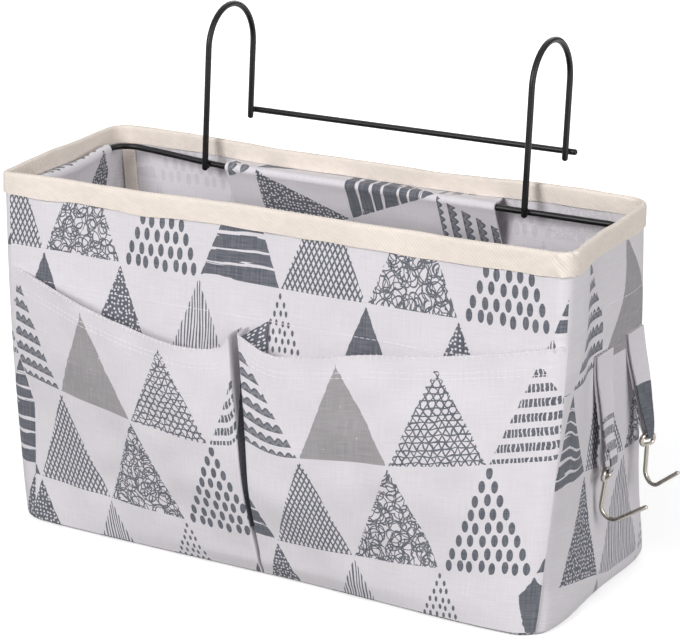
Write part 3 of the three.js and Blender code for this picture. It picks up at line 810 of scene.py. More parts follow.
# Where the print lies on each piece: rows and columns are counted from a junction of the top row on the front

ROW_SCALE = 0.78
FRONT_START, FRONT_ROW = 152.0, 170.0
STRIP_EDGE, STRIP_TOP, STRIP_ROW, STRIP_UPPER = -150.0, 135.0, 33.0, 169.0
STRIP_STARTS = (127, 143, 158)
BACK_START, BACK_DROP = 19, 12


def front_map(x, z):
    """Cloth of the front wall. A strip of the end's cloth comes round the corner, up to the pocket's edge."""
    wall = np.stack([x + FRONT_START + motif()[0], (z - FRONT_ROW) * ROW_SCALE], -1)
    strip = (x < STRIP_EDGE) & (z < STRIP_TOP)
    return np.where(strip[..., None], strip_map(x, z), wall)


def strip_map(x, z):
    """Cloth of the left end where it comes round the corner, at a distance from the middle of the front."""
    width, height = motif()
    start = np.select([z > STRIP_UPPER, z > STRIP_ROW], STRIP_STARTS[:2], STRIP_STARTS[2])
    return np.stack([5.5 * width + x + start, (z - STRIP_ROW) * ROW_SCALE - 3 * height], -1)


def left_map(y, z):
    """Cloth of the left end, which runs on into the strip."""
    return strip_map(y - seam_ends("left", z)[1] + seam_ends("front", z)[0], z)


END_ROW, END_ABOVE, END_BELOW = 134.0, 0.736, 0.84
END_HANG, END_HANG_DEPTH = 0.2, 66
END_PULL = ((-5, 64), (66, 39), (134, 50), (165, 42), (225, 66))
END_SAG, END_SAG_AT, END_SAG_HALF = 6.0, 13.0, 14.0


def end_map(y, z):
    """Cloth of the right end, pulled this way and that by the straps. It hangs lower towards the front, sags
    in the second row, and is left bare beside the front corner in all rows but that one."""
    width, height = motif()
    above, below = np.maximum(z - END_ROW, 0), np.minimum(z - END_ROW, 0)
    hang = END_HANG * np.minimum(y, 10) * np.clip(-below / END_HANG_DEPTH, 0, 1.2)
    u = y + smooth_line(END_PULL, z)
    v = END_ABOVE * above + END_BELOW * (below + hang)
    share = np.clip(v / height + 1, 0, 1)
    v = v + END_SAG * np.maximum(1 - ((u - END_SAG_AT) / END_SAG_HALF) ** 2, 0) * 4 * share * (1 - share)
    low, level = v < -2 * height, (v < -height) | (v >= 0)
    bare = np.select([low, level], [-0.7 * (v + 2 * height), np.zeros_like(v)], -np.inf)
    return np.stack([5 * width + np.maximum(u, bare + 0.5), v - 2 * height], -1)


SIDE_MAPS = {
    "front": front_map,
    "right": end_map,
    "back": lambda along, z: front_map(along + BACK_START, z - BACK_DROP),
    "left": left_map,
}


# The box

FOOT_ROUND = 2.5
BASE_SLACK = 0.5
BOARD_MARGIN = 3.6


def make_walls():
    """Four walls as one slack shell, open at the top and rounded where they turn under the base."""
    thick, rows = cloth_thickness(), int(WALL_TOP / WALL_STEP)
    bend = np.linspace(0, math.pi / 2, 5)[:-1]
    inset = np.concatenate([FOOT_ROUND * (1 - np.sin(bend)), np.zeros(rows)])[:, None]
    z = np.concatenate([FOOT_ROUND * (1 - np.cos(bend)), np.linspace(FOOT_ROUND, WALL_TOP, rows)])[:, None]
    fabric = Fabric()
    for side in SIDES:
        columns = wall_columns(side)
        outer = settle(wall_point(side, *columns, inset, z))
        inner = settle(wall_point(side, *columns, inset + thick, z + thick * (inset > 0)))
        along = wall_along(side, *columns, z)
        fabric.sheet(outer, inner, SIDE_MAPS[side](*np.broadcast_arrays(along, z)), edges=("foot", "top"))
    piece = fabric.sewn(
        "cloth_box", "printed_cloth", "front_panel", "back_panel", "left_end_panel", "right_end_panel")


def outline(inset, z):
    """A closed loop of points round the taut box at an inset and a height."""
    loop = np.concatenate([
        wall_point(side, *(part[:-1] for part in wall_columns(side)), inset, z) for side in SIDES])
    return np.concatenate([loop, loop[:1]])


def lay_flat(loop, middle, rows, thick, slack=0.0):
    """Upper and lower face of a flat piece, from a loop in to a middle line, where slack raises it."""
    share = np.linspace(0, 1, rows)[:, None, None]
    lower = loop * (1 - share) + middle * share
    uneven = 1 + 0.3 * ripple(lower[..., 0], lower[..., 1], 0.0, *BASE_SWELL)
    lower[..., 2] += slack * np.sin(share[..., 0] * math.pi / 2) * uneven
    return lower + [0, 0, thick], lower


def make_base():
    """Base cloth, sewn to the foot of the walls."""
    loop = settle(outline(FOOT_ROUND, 0.0))
    reach = FOOT_HALF[0] - FOOT_HALF[1]
    spine = np.zeros_like(loop)
    spine[:, 0] = np.clip(loop[:, 0], -reach, reach)
    upper, lower = lay_flat(loop, spine, 14, cloth_thickness(), BASE_SLACK)
    fabric = Fabric()
    fabric.sheet(upper, lower, lower[..., :2], 1, 0, edges=("foot", "top"))
    piece = fabric.sewn("base_cloth", "printed_cloth", "base_panel")


class CADDY_OT_box(bpy.types.Operator):
    """Make the slack cloth walls and the base cloth"""

    bl_idname = "caddy.box"
    bl_label = "Cloth box"

    def execute(self, context):
        make_walls()
        make_base()
        return {"FINISHED"}


class CADDY_OT_board(bpy.types.Operator):
    """Make the plastic stiffener in the base, with its corners cut to suit the slack walls"""

    bl_idname = "caddy.board"
    bl_label = "Base board"

    def execute(self, context):
        low, high = node_box("base_board")
        loop = np.clip(outline(BOARD_MARGIN, low[2]), low, high)
        upper, lower = lay_flat(loop, loop * [0.9, 0, 1], 8, high[2] - low[2])
        fabric = Fabric()
        fabric.sheet(upper, lower, lower[..., :2], 0, 0, edges=("foot", "top"))
        fabric.sewn("base_board_sheet", "board_plastic", "base_board", crease=30)
        return {"FINISHED"}


# Tapes

GATHER_PITCH, GATHER_REACH, GATHER_DEPTH, GATHER_SLANT = 5.5, 26.0, 0.55, 0.6
EDGE_WAVE, FACE_WAVE = 0.6, 0.35
UNGATHERED = 99.0
OUTER_HEM, INNER_HEM, BELOW_BEND = (12, 0), (24, 30), 1.5
SEAM_TAPE_WIDTH, SEAM_TAPE_THICK = 10.0, 1.6
CORNER_PUFF, CORNER_RIPPLE, BASE_PUFF = 0.7, 0.25, 0.4


def rim_sections():
    """Insets and heights of the tape's outer and inner face, up the wall, over its top and down inside."""
    tape = bpy.context.scene.caddy_tape
    thick, middle = tape.thickness / MM, cloth_thickness() / 2
    reach = middle + GAP + thick
    bend = np.linspace(math.pi, 0, 9)
    outside = np.linspace(tape.outside / MM - reach, BELOW_BEND, 5)
    inside = np.linspace(BELOW_BEND, tape.inside / MM - reach, 4)
    aside = np.concatenate([-np.ones(5), np.cos(bend), np.ones(4)])
    over = np.concatenate([np.zeros(5), np.sin(bend), np.zeros(4)])
    z = RIM_Z - reach - np.concatenate([outside, np.zeros(9), inside])
    return [np.stack([middle + radius * aside, z + radius * over], -1) for radius in (reach, reach - thick)]


class CADDY_OT_rim_tape(bpy.types.Operator):
    """Make the tape that is folded over the rim, a little uneven and gathered at the front right corner"""

    bl_idname = "caddy.rim_tape"
    bl_label = "Rim tape"

    def execute(self, context):
        sections = rim_sections()
        widths = run_length(sections[0])[:, None]
        hems = rise_between(*OUTER_HEM, widths) + rise_between(*INNER_HEM, widths)
        fabric = Fabric()
        length = 0.0
        for side in SIDES:
            columns = wall_columns(side, 10)
            along = wall_along(side, *columns, RIM_Z)
            u = along - along[0] + length
            length = u[-1]
            start, end = straight_ends(side, RIM_Z)[:2]
            away = {"front": end - along, "right": along - start}.get(side, UNGATHERED)
            gather = np.sin(2 * math.pi * (u + GATHER_SLANT * widths) / GATHER_PITCH)
            gather = GATHER_DEPTH * gather * np.exp(-((away / GATHER_REACH) ** 2))
            stand = gather + FACE_WAVE * ripple(u, 0.0, widths, *TAPE_FACE)
            wave = EDGE_WAVE * hems * ripple(u, 0.0, 0.0, *TAPE_EDGE)
            outer, inner = (
                settle(wall_point(side, *columns, section[:, :1] - stand, section[:, 1:] + wave))
                for section in sections)
            fabric.sheet(outer, inner, grid_of(u, widths), 0, 0, edges=("foot", "top"))
        fabric.sewn("rim_tape", "twill_tape", "rim_binding")
        return {"FINISHED"}


def tape_inset():
    """Depth from the outside of a wall to what lies against its inside."""
    return cloth_thickness() + GAP


def seam_tape(side, columns, puff, z):
    """Back and front of a tape that lies against the inside of a wall and puffs up."""
    insets = (tape_inset(), tape_inset() + SEAM_TAPE_THICK + puff)
    return [settle(wall_point(side, *columns, inset, z)) for inset in insets]


def make_corner_tape(side, end):
    """Tape over the corner seam at an end of a long wall, 0 or 1, pressed flat against that wall."""
    corner = SIDE_ENDS[side][end]
    low, high = node_box(f"corner_binding_{corner}")
    z = np.linspace(low[2], high[2], 60)[:, None]
    across = np.linspace(0, SEAM_TAPE_WIDTH, 6)
    along = seam_ends(side, z)[end] + SEAM_TAPE_WIDTH * (1 - end) - across
    puff = CORNER_PUFF * np.sin(math.pi * across / SEAM_TAPE_WIDTH)
    puff = puff + CORNER_RIPPLE * ripple(along, 0.0, z, *CORNER_TAPE)
    fabric = Fabric()
    fabric.sheet(*seam_tape(side, wall_place(side, along, z), puff, z), grid_of(z, across), 0, 0)
    fabric.sewn(f"corner_tape_{corner}", "twill_tape", f"corner_binding_{corner}")


def make_base_tape():
    """Tape over the seam round the base, inside."""
    low, high = node_box("base_seam_binding")
    z = np.linspace(low[2], high[2], 5)[:, None]
    puff = BASE_PUFF * np.sin(math.pi * (z - low[2]) / (high[2] - low[2]))
    fabric = Fabric()
    for side in SIDES:
        columns = wall_columns(side)
        place = grid_of(wall_along(side, *columns, z), z)
        fabric.sheet(*seam_tape(side, columns, puff, z), place, 0, 0, edges=("foot", "top"))
    fabric.sewn("base_seam_tape", "twill_tape", "base_seam_binding")


class CADDY_OT_seam_tapes(bpy.types.Operator):
    """Make the tapes over the seams inside the box"""

    bl_idname = "caddy.seam_tapes"
    bl_label = "Seam tapes"

    def execute(self, context):
        for side in LONG_SIDES:
            make_corner_tape(side, 0)
            make_corner_tape(side, 1)
        make_base_tape()
        return {"FINISHED"}


# Wire

HOOK_LEAN = math.radians(5)
HOOK_FOOT, HOOK_STRAIGHT, HOOK_TIP = -1.2, 73.0, 25.5
HOOK_BEND = 26.0
RING_BEND, RING_LIFT, RING_STEP = 14.0, 5.0, 6
RING_WELD, BAR_WELD, WELD_LIE = (2.1, 1.2, 1.9), (1.9, 1.2, 1.9), 0.2
END_CAP = 0.8


def tube(fabric, path, radius, closed=False, sides=16):
    """Adds a round wire along a path, with rounded ends unless it closes on itself."""
    path = np.asarray(path, float)
    ahead = np.roll(path, -1, 0) - np.roll(path, 1, 0) if closed else np.gradient(path, axis=0)
    ahead /= np.linalg.norm(ahead, axis=1, keepdims=True)
    radii = np.full(len(path), radius)
    if closed:
        path, ahead, radii = (np.concatenate([part, part[:1]]) for part in (path, ahead, radii))
    else:
        ease = np.linspace(0, math.pi / 2, 5)[1:]
        cap, reach = radius * np.maximum(np.cos(ease), 0.02), END_CAP * radius * np.sin(ease)[:, None]
        path = np.concatenate([path[0] - ahead[0] * reach[::-1], path, path[-1] + ahead[-1] * reach])
        ahead = np.concatenate([ahead[:1].repeat(4, 0), ahead, ahead[-1:].repeat(4, 0)])
        radii = np.concatenate([cap[::-1], radii, cap])
    normal = np.cross(ahead[0], np.eye(3)[np.abs(ahead[0]).argmin()])
    angle = np.linspace(0, 2 * math.pi, sides + 1)
    rings = []
    for point, along, size in zip(path, ahead, radii):
        normal = normal - along * (normal @ along)
        normal /= np.linalg.norm(normal)
        across = np.cross(along, normal)
        rings.append(point + size * (np.cos(angle)[:, None] * normal + np.sin(angle)[:, None] * across))
    fabric.patch(np.array(rings), grid_of(run_length(path)[:, None], angle * radius))


def arc(centre, radius, start, end, steps):
    """Points of a flat arc, its angles in degrees."""
    t = np.radians(np.linspace(start, end, steps + 1))
    return np.stack([centre[0] + radius * np.cos(t), centre[1] + radius * np.sin(t)], -1)


def bead(fabric, place, size):
    """Adds a lump of weld."""
    t = np.linspace(-0.98, 0.98, 7)[:, None] * math.pi / 2
    p = np.linspace(0, 2 * math.pi, 13)
    ball = grid_of(np.cos(t) * np.cos(p), np.cos(t) * np.sin(p), np.sin(t))
    fabric.patch(place + ball * size, ball[..., :2] * size[0])


def ring_height(x, y):
    """Height of the ring's wire, which the slack cloth has pulled up at its rear left corner."""
    corner = rise_between(-0.45 * RING_HIGH[0], -RING_HIGH[0], x) * rise_between(-0.2, 0.9, y / RING_HIGH[1])
    return RING_Z + RING_LIFT * corner


def make_ring():
    """Ring of wire in the casings."""
    x, y = RING_HIGH[:2] - WIRE_RADIUS - RING_BEND
    corners = np.array([(x, y), (-x, y), (-x, -y), (x, -y)])
    flat = []
    for number, corner in enumerate(corners):
        bend = arc(corner, RING_BEND, 90 * number, 90 * number + 90, 10)
        following = corners[(number + 1) % 4] - corner + bend[-1]
        steps = int(np.linalg.norm(following - bend[-1]) / RING_STEP)
        flat += [bend, np.linspace(bend[-1], following, steps, endpoint=False)[1:]]
    flat = np.concatenate(flat)
    fabric = Fabric()
    tube(fabric, np.column_stack([flat, ring_height(*flat.T)]), WIRE_RADIUS, closed=True)
    fabric.sewn("wire_ring", "black_wire", "rim_wire")


def on_hanger(x, y, z):
    """A point given beside the leaning hooks, whose uprights are welded inside the ring."""
    foot = RING_HIGH[1] - 3 * WIRE_RADIUS - GAP
    s, c = math.sin(HOOK_LEAN), math.cos(HOOK_LEAN)
    return grid_of(x, foot + y * c + z * s, RING_Z - y * s + z * c)


def make_hook(end):
    """An upright that turns over a rail and comes down behind it."""
    x = sum(node_box(f"hanger_hook_{end}"))[0] / 2
    crest = arc((HOOK_BEND, HOOK_STRAIGHT), HOOK_BEND, 180, 0, 28)
    up, down = np.linspace(HOOK_FOOT, HOOK_STRAIGHT, 14)[:-1], np.linspace(HOOK_STRAIGHT, HOOK_TIP, 10)[1:]
    y = np.concatenate([np.zeros_like(up), crest[:, 0], np.full_like(down, 2 * HOOK_BEND)])
    fabric = Fabric()
    tube(fabric, on_hanger(x, y, np.concatenate([up, crest[:, 1], down])), WIRE_RADIUS)
    bead(fabric, on_hanger(x, WIRE_RADIUS + WELD_LIE, 0.0), RING_WELD)
    fabric.sewn(f"wire_hook_{end}", "black_wire", f"hanger_hook_{end}")


def make_bar():
    """Straight bar across the tips of the hooks."""
    low, high = node_box("cross_bar")
    _, y, z = (low + high) / 2
    cap = END_CAP * WIRE_RADIUS
    fabric = Fabric()
    tube(fabric, grid_of(np.linspace(low[0] + cap, high[0] - cap, 30), y, z), WIRE_RADIUS)
    for end in ("left", "right"):
        x = sum(node_box(f"hanger_hook_{end}"))[0] / 2
        bead(fabric, (x, y - WIRE_RADIUS, z), BAR_WELD)
    fabric.sewn("wire_bar", "black_wire", "cross_bar")


class CADDY_OT_hanger(bpy.types.Operator):
    """Make the wire ring, the two hooks and the bar"""

    bl_idname = "caddy.hanger"
    bl_label = "Wire hanger"

    def execute(self, context):
        make_ring()
        make_hook("left")
        make_hook("right")
        make_bar()
        return {"FINISHED"}


# Casings

CASING_TRIMS = {"back": (8.0, 2.0)}
CASING_START, CASING_HANG, CASING_LAP = 1.0, 15.0, 3.0
CASING_STEP, CASING_LIFT, CASING_STITCH = 1.5, 0.5, 178.0
LIFT_RISE, WIRE_HOLD = (14, 26), (2, 6)
CASING_WRAP = np.radians(np.linspace(100, -40, 9))
LONG_AXIS, LONG_SCALE, LONG_ROW = 75.9, 0.845, 38
END_COLUMN, END_TOP_ROW = 137, 8


def casing_section(wire_inset, foot):
    """Insets and heights down a casing: from under the rim tape over the wire and down to its hem."""
    half = cloth_thickness() / 2
    lie, over = tape_inset() + half, WIRE_RADIUS + GAP + half
    start = RIM_Z - bpy.context.scene.caddy_tape.inside / MM - CASING_START
    seam = node_box("back_casing")[0][2] - CASING_HANG + CASING_LAP
    wrap = np.stack([wire_inset + over * np.cos(CASING_WRAP), RING_Z + over * np.sin(CASING_WRAP)], -1)
    lead = np.linspace((lie, start), wrap[0], 4)[:-1]
    slope = np.linspace(wrap[-1], (lie, seam), 6)[1:]
    hem = np.linspace((lie, seam), (lie, foot), max(int((seam - foot) / 3), 2))[1:]
    return np.concatenate([lead, wrap, slope, hem])


def casing_map(side, along, down):
    """Cloth of a casing. The long ones are cut with the print lying on its side."""
    width, height = motif()
    if side not in LONG_SIDES:
        return grid_of(along + END_COLUMN, END_TOP_ROW - down)
    turned = -along if side == "back" else along
    return grid_of(down + 5.5 * width - LONG_ROW, (turned + LONG_AXIS) * LONG_SCALE - 4 * height)


def casing_grids(side):
    """Printed face and back of a flap that holds the ring, its cloth places, its size and its section."""
    low, high = node_box(f"{side}_casing")
    axis = 0 if side in LONG_SIDES else 1
    half = (high[axis] - low[axis]) / 2
    wire_inset = half_sizes(side, RING_Z)[1] - (RING_HIGH[1 - axis] - WIRE_RADIUS)
    section = casing_section(wire_inset, low[2] - CASING_HANG)
    step = np.gradient(section, axis=0)
    step /= np.linalg.norm(step, axis=1, keepdims=True)
    normal = np.stack([-step[:, 1], step[:, 0]], -1)
    down = run_length(section)[:, None]
    first, last = CASING_TRIMS.get(side, (0, 0))
    along = np.linspace(first - half, half - last, int(half / CASING_STEP))
    lift = np.maximum(ripple(along, 0.0, down, *CASING_SWELL) * rise_between(*LIFT_RISE, down), 0)
    loose = 1 - rise_between(*WIRE_HOLD, section[:, :1] - tape_inset())
    grids = []
    for share in (0.5, -0.5):
        skew = section + normal * share * cloth_thickness()
        points = flat_point(side, along, skew[:, :1] + CASING_LIFT * lift, skew[:, 1:])
        points[..., 2] += (ring_height(points[..., 0], points[..., 1]) - RING_Z) * (1 - loose)
        grids.append(points + loose[..., None] * (settle(points) - points))
    return grids, casing_map(side, along, down), (2 * half, down[-1, 0]), section


class CADDY_OT_casings(bpy.types.Operator):
    """Make the four flaps that hold the ring against the walls"""

    bl_idname = "caddy.casings"
    bl_label = "Casings"

    def execute(self, context):
        for side in SIDES:
            (face, back), place, size, _ = casing_grids(side)
            fabric = Fabric()
            fabric.sheet(back, face, place, 1, 0)
            piece = fabric.sewn(f"casing_{side}", "printed_cloth", f"{side}_casing")
        return {"FINISHED"}


# Pockets

POCKET_FOOT = 2.5
SEAM_TOP_X, SEAM_FOOT_X, SEAM_TOP_Z = -13.0, 7.0, 146.0
SEAM_DEPTH, FOOT_DEPTH, FOOT_RISE, BODY_RISE = 12.0, 0.25, (0, 0.06), (0.05, 0.42)
SEAM_GAP_FOOT, SEAM_GAP_TOP, SEAM_GAP_RISE = 1.4, 4.6, (0.1, 0.75)
HEM_LEFT = ((0, 158), (0.2, 152), (0.4, 146), (0.65, 138), (0.83, 134.5), (0.93, 136), (0.98, 140), (1, 146))
HEM_RIGHT = (
    (0, 147), (0.04, 143), (0.08, 139.5), (0.13, 137.6), (0.21, 139.5), (0.46, 148), (0.75, 156), (1, 165.5))
HEM_WIDTH, HEM_STRETCH = 6.0, 10
LEFT_GAPE, RIGHT_GAPE, BELLY, POCKET_SLACK = 12.0, 5.0, 2.0, 0.8
LEFT_EDGE_FOOT, LEFT_EDGE_TOP, LEFT_EDGE_RISE = -158.0, -172.0, (72, 115)
LEFT_TURN, RIGHT_TURN = 1.6, 2.4
LEFT_START, RIGHT_START = 133.5, -35.6
PULL_Z, PULL_RIGHT, PULL_REACH = 85, 1.8, 80
ROW_SHARE, ROW_CLIMB, LOWER_SCALE = 0.565, 0.035, 0.907
FOOT_FOLD, FOOT_FOLD_TOP, FOOT_PULL = (138.0, 150.0), 24.0, 0.52
FOOT_TIP_X, FOOT_TIP_Z, FOOT_SPREAD = 172.0, 34.0, 0.5
# The turned-in cloth at the middle seam is solid ink below a height, partly print and partly painted shade
# for the crease there.
TURN_SHARE, TURN_COLUMNS, TURN_SHADE_INK, TURN_SCALE = 0.06, 7, 126.0, 0.54
PLEAT_FOOT, PLEAT_TOP, PLEAT_CLIMB = 128.0, 145.0, 7.5
PLEAT_WIDTH, PLEAT_STAND, PLEAT_OFF = 11.0, 9.5, 0.8
# These set the pleat's print on a dark flecked triangle, partly print and partly painted shade for the
# shadowed mouth of the right pocket.
PLEAT_SHADE_ROW, PLEAT_HEIGHT = -45, 20


def pocket_columns(right):
    """Shares across one pocket, from the left, close together where the cloth turns at the middle seam."""
    share = np.concatenate([np.linspace(0, 1, 25) ** 2.2 * TURN_SHARE, np.linspace(TURN_SHARE, 1, 48)[1:]])
    return share if right else 1 - share[::-1]


def tucked(distance, width):
    """How far cloth has come out of a tuck, from 0 to 1, at a distance from its seam."""
    t = np.clip(distance / width, 0, 1)
    return (1 - (1 - t) ** 3) ** (1 / 3)


def pocket_shape(right, share, rise):
    """Distance along the front, height and standing-out of a pocket at shares across it and up it."""
    share, rise = np.broadcast_arrays(np.asarray(share, float), np.asarray(rise, float))
    hem = smooth_line(HEM_RIGHT if right else HEM_LEFT, share)
    z = POCKET_FOOT + (hem - POCKET_FOOT) * rise
    seam = SEAM_FOOT_X + (SEAM_TOP_X - SEAM_FOOT_X) * z / SEAM_TOP_Z
    left, end = seam_ends("front", z)
    lean = np.sin(math.pi * share)
    deep = FOOT_DEPTH * rise_between(*FOOT_RISE, rise) + (1 - FOOT_DEPTH) * rise_between(*BODY_RISE, rise)
    deep = SEAM_DEPTH * deep
    if right:
        start = seam + SEAM_GAP_FOOT + (SEAM_GAP_TOP - SEAM_GAP_FOOT) * rise_between(*SEAM_GAP_RISE, rise)
        along = start + (end - start) * share
        gape = deep * (1 - share) * tucked(along - start, RIGHT_TURN) + RIGHT_GAPE * lean * rise**1.3
    else:
        edge = LEFT_EDGE_FOOT + (LEFT_EDGE_TOP - LEFT_EDGE_FOOT) * rise_between(*LEFT_EDGE_RISE, z)
        left = np.maximum(left, edge)
        along = left + (seam - left) * share
        gape = (deep * share**2 + LEFT_GAPE * lean * rise**1.1) * tucked(seam - along, LEFT_TURN)
    slack = ripple(along, 0.0, z * 0.4, *POCKET_SWELL) + 0.5 * ripple(along, 0.0, z, *POCKET_CREASE)
    slack = BELLY * np.sin(math.pi * rise) + POCKET_SLACK * slack * rise_between(0, 0.2, rise)
    return along, z, gape + lean * slack


def before_front(along, z, stand):
    """Points that stand out from the front wall's slack cloth."""
    return settle(wall_point("front", *wall_place("front", along, z), -stand, z))


def pocket_points(right, share, rise, thick=0.0):
    """Points of a pocket's cloth."""
    along, z, gape = pocket_shape(right, share, rise)
    return before_front(along, z, gape + GAP + thick)


def pocket_map(right, share, rise):
    """Cloth of a pocket: rows of the print rise towards the corners with the hem, which is left blank. At the
    right foot the print is pulled aside to draw a folded facet."""
    width, height = motif()
    along, z, _ = pocket_shape(right, share, rise)
    pulled = (z - PULL_Z) / SEAM_TOP_Z * (SEAM_FOOT_X - SEAM_TOP_X)
    base = ROW_SHARE
    if right:
        u = 6 * width + along + RIGHT_START + pulled * PULL_RIGHT * np.exp(-np.maximum(along, 0) / PULL_REACH)
        spread = FOOT_SPREAD * np.clip((FOOT_TIP_Z - z) / 8, 0, 1) * (FOOT_TIP_X - along)
        u = u + rise_between(*FOOT_FOLD, along) * (spread - FOOT_PULL * np.maximum(FOOT_FOLD_TOP - z, 0))
        base = ROW_SHARE + ROW_CLIMB * rise_between(0.5, 1, share)
    else:
        u = 2 * width + along + LEFT_START + pulled
    tip = 1 - HEM_WIDTH / SEAM_TOP_Z
    upper = -2 * height + height * (np.clip(rise, base, tip) - base) / (tip - base)
    lower = np.minimum(rise - base, 0) * SEAM_TOP_Z * LOWER_SCALE
    v = upper + lower + np.maximum(rise - tip, 0) * HEM_STRETCH
    return grid_of(u, v, along, rise * SEAM_TOP_Z)


def turn_map(points):
    """Cloth that is turned in at the middle seam: plain at the top, and solid ink from half-way down, which
    also stands in as painted shade for the deep crease there.
    """
    y, z = points[..., 1], points[..., 2]
    below_tip = np.minimum((z - TURN_SHADE_INK) * TURN_SCALE, -0.05)
    return grid_of(motif()[0] + y + half_depth(z) + SEAM_DEPTH / 2, below_tip, y, z)


def pleat_points(t, up, thick=0.0):
    """Points of the pleat behind the right pocket's mouth, at shares across it and up it."""
    z = PLEAT_FOOT + (PLEAT_TOP + PLEAT_CLIMB * t - PLEAT_FOOT) * up
    along = SEAM_TOP_X + SEAM_GAP_TOP + RIGHT_TURN + PLEAT_WIDTH * t
    return before_front(along, z, PLEAT_OFF + PLEAT_STAND * (1 - t) ** 1.4 + thick)


class CADDY_OT_pockets(bpy.types.Operator):
    """Make the strip that forms the two front pockets, sewn down at its ends, its foot and its middle"""

    bl_idname = "caddy.pockets"
    bl_label = "Pockets"

    def execute(self, context):
        thick = cloth_thickness()
        rise = np.linspace(0, 1, 46)[:, None]
        fabric = Fabric()
        for right in (False, True):
            share = pocket_columns(right)
            outer, inner = pocket_points(right, share, rise, thick), pocket_points(right, share, rise)
            place = pocket_map(right, *np.broadcast_arrays(share, rise))
            if right:
                fabric.sheet(outer, inner, place)
            else:
                face, turn = np.s_[:, :-TURN_COLUMNS], np.s_[:, -TURN_COLUMNS - 1 :]
                fabric.sheet(outer[face], inner[face], place[face], edges=("foot", "top", "near"))
                # The turned-in edge is inked solid lower down, partly as painted shade in the crease.
                fabric.sheet(outer[turn], inner[turn], turn_map(outer[turn]), edges=("foot", "top", "far"))
        t, up = np.meshgrid(np.linspace(0, 1, 8), np.linspace(0, 1, 8))
        # The pleat's print is a dark flecked triangle, which also stands in as painted shade for the shadow
        # in the right pocket's mouth.
        pleat = grid_of(2 * motif()[0] + PLEAT_WIDTH * (t - 0.5), PLEAT_HEIGHT * up + PLEAT_SHADE_ROW, t, up)
        fabric.sheet(pleat_points(t, up, thick), pleat_points(t, up), pleat)
        piece = fabric.sewn("pocket_strip_cloth", "printed_cloth", "pocket_strip")
        return {"FINISHED"}


# Straps and key hooks


class Strap(NamedTuple):
    """How one strap and its key hook hang."""

    end_width: float  # width at the fold
    twist: float  # turn of the fold
    slack: float  # how far the layers stand apart above the fold
    shift: tuple  # how far the sewn top lies from the joint, along the wall and up it
    axis: tuple  # column and row of the printed triangle that hangs on the outer layer
    hang: float  # how far the key hook swings out


STRAPS = {
    "front": Strap(6.0, 0.0, 3.4, (0, 0), (4.5, -2), math.radians(8)),
    "rear": Strap(3.6, math.radians(-24), 0.8, (-9, -4), (1, -1), math.radians(3)),
}
STRAP_CLOTH, STRAP_WIDTH = 0.9, 21.0
STRAP_LOOP, STRAP_BEND = 24.0, 0.12
STRAP_CURL, STRAP_RIPPLE = 0.8, 0.5
STRAP_PRINT = 39.0
EYE_CLEARANCE = 0.4
EYE_HALF_WIDTH, EYE_HALF_HEIGHT, EYE_BEND = 4.9, 2.8, 2.6
KEY_SHANK, KEY_BEND, KEY_SWEEP, KEY_ARM = 16.0, 7.0, 130, 20.0


def turn_z(points, angle):
    """Points turned about an upright axis through the origin."""
    c, s = np.cos(angle), np.sin(angle)
    x, y = points[..., 0], points[..., 1]
    return np.stack([x * c - y * s, x * s + y * c, points[..., 2]], -1)


def strap_points(strap, reach, side, share, offset):
    """Points of a strap: side runs from -1 up the inner layer to 1 up the outer one, the fold between."""
    fold = bpy.context.scene.caddy_wire.key_diameter / MM / 2 + EYE_CLEARANCE + STRAP_CLOTH / 2
    level = reach[2] * np.clip((np.abs(side) - STRAP_BEND) / (1 - STRAP_BEND), 0, 1)
    loop = np.clip(level / STRAP_LOOP, 0, 1)
    apart = (STRAP_CLOTH + GAP) / 2
    half = apart + (fold - apart) * (1 - loop) ** 2
    half = half + strap.slack * np.sin(math.pi * loop**0.8) * (1 - loop) ** 0.7
    angle = np.clip(side / STRAP_BEND, -1, 1) * math.pi / 2
    folded = np.abs(side) < STRAP_BEND
    x = np.where(folded, (fold + offset) * np.sin(angle), np.sign(side) * (half + offset))
    z = np.where(folded, -(fold + offset) * np.cos(angle), level)
    rise = np.clip(z / reach[2], 0, 1)
    width = strap.end_width + (STRAP_WIDTH - strap.end_width) * rise**0.75
    x = x + STRAP_CURL * share**2 * np.sin(math.pi * rise) * np.sign(side)
    x = x + STRAP_RIPPLE * ripple(share * 3, 0.0, z, *STRAP_SWELL) * rise
    points = turn_z(grid_of(x, share * width / 2, z), strap.twist * (1 - rise))
    points[..., 0] += reach[0] * (rise_between(0, 1, rise) + rise) / 2
    points[..., 1] += reach[1] * rise
    return points


def make_strap(end, strap):
    """A strap folded round the eye of a key hook, its top sewn to the right end."""
    width, height = motif()
    body, fold = f"{end}_strap", joint_place(f"{end}_key_swing")
    top = joint_place(f"{end}_strap_lift") + [0, *strap.shift]
    top[0] = settle(flat_point("right", top[1], 0.0, top[2]))[0] + STRAP_CLOTH + GAP
    reach = top - fold
    layer, bend = np.linspace(STRAP_BEND + 0.01, 1, 26), np.linspace(-STRAP_BEND, STRAP_BEND, 13)
    side = np.concatenate([-layer[::-1], bend, layer])
    side, share = np.broadcast_arrays(side[:, None], np.linspace(-1, 1, 13))
    half = STRAP_CLOTH / 2
    front, back = (strap_points(strap, reach, side, share, offset) + fold for offset in (half, -half))
    column, row = strap.axis
    place = grid_of(share * STRAP_WIDTH / 2 + column * width, row * height + STRAP_PRINT - side * reach[2])
    fabric = Fabric()
    fabric.sheet(front, back, place)
    piece = fabric.sewn(f"{body}_cloth", "printed_cloth", body, body=body)


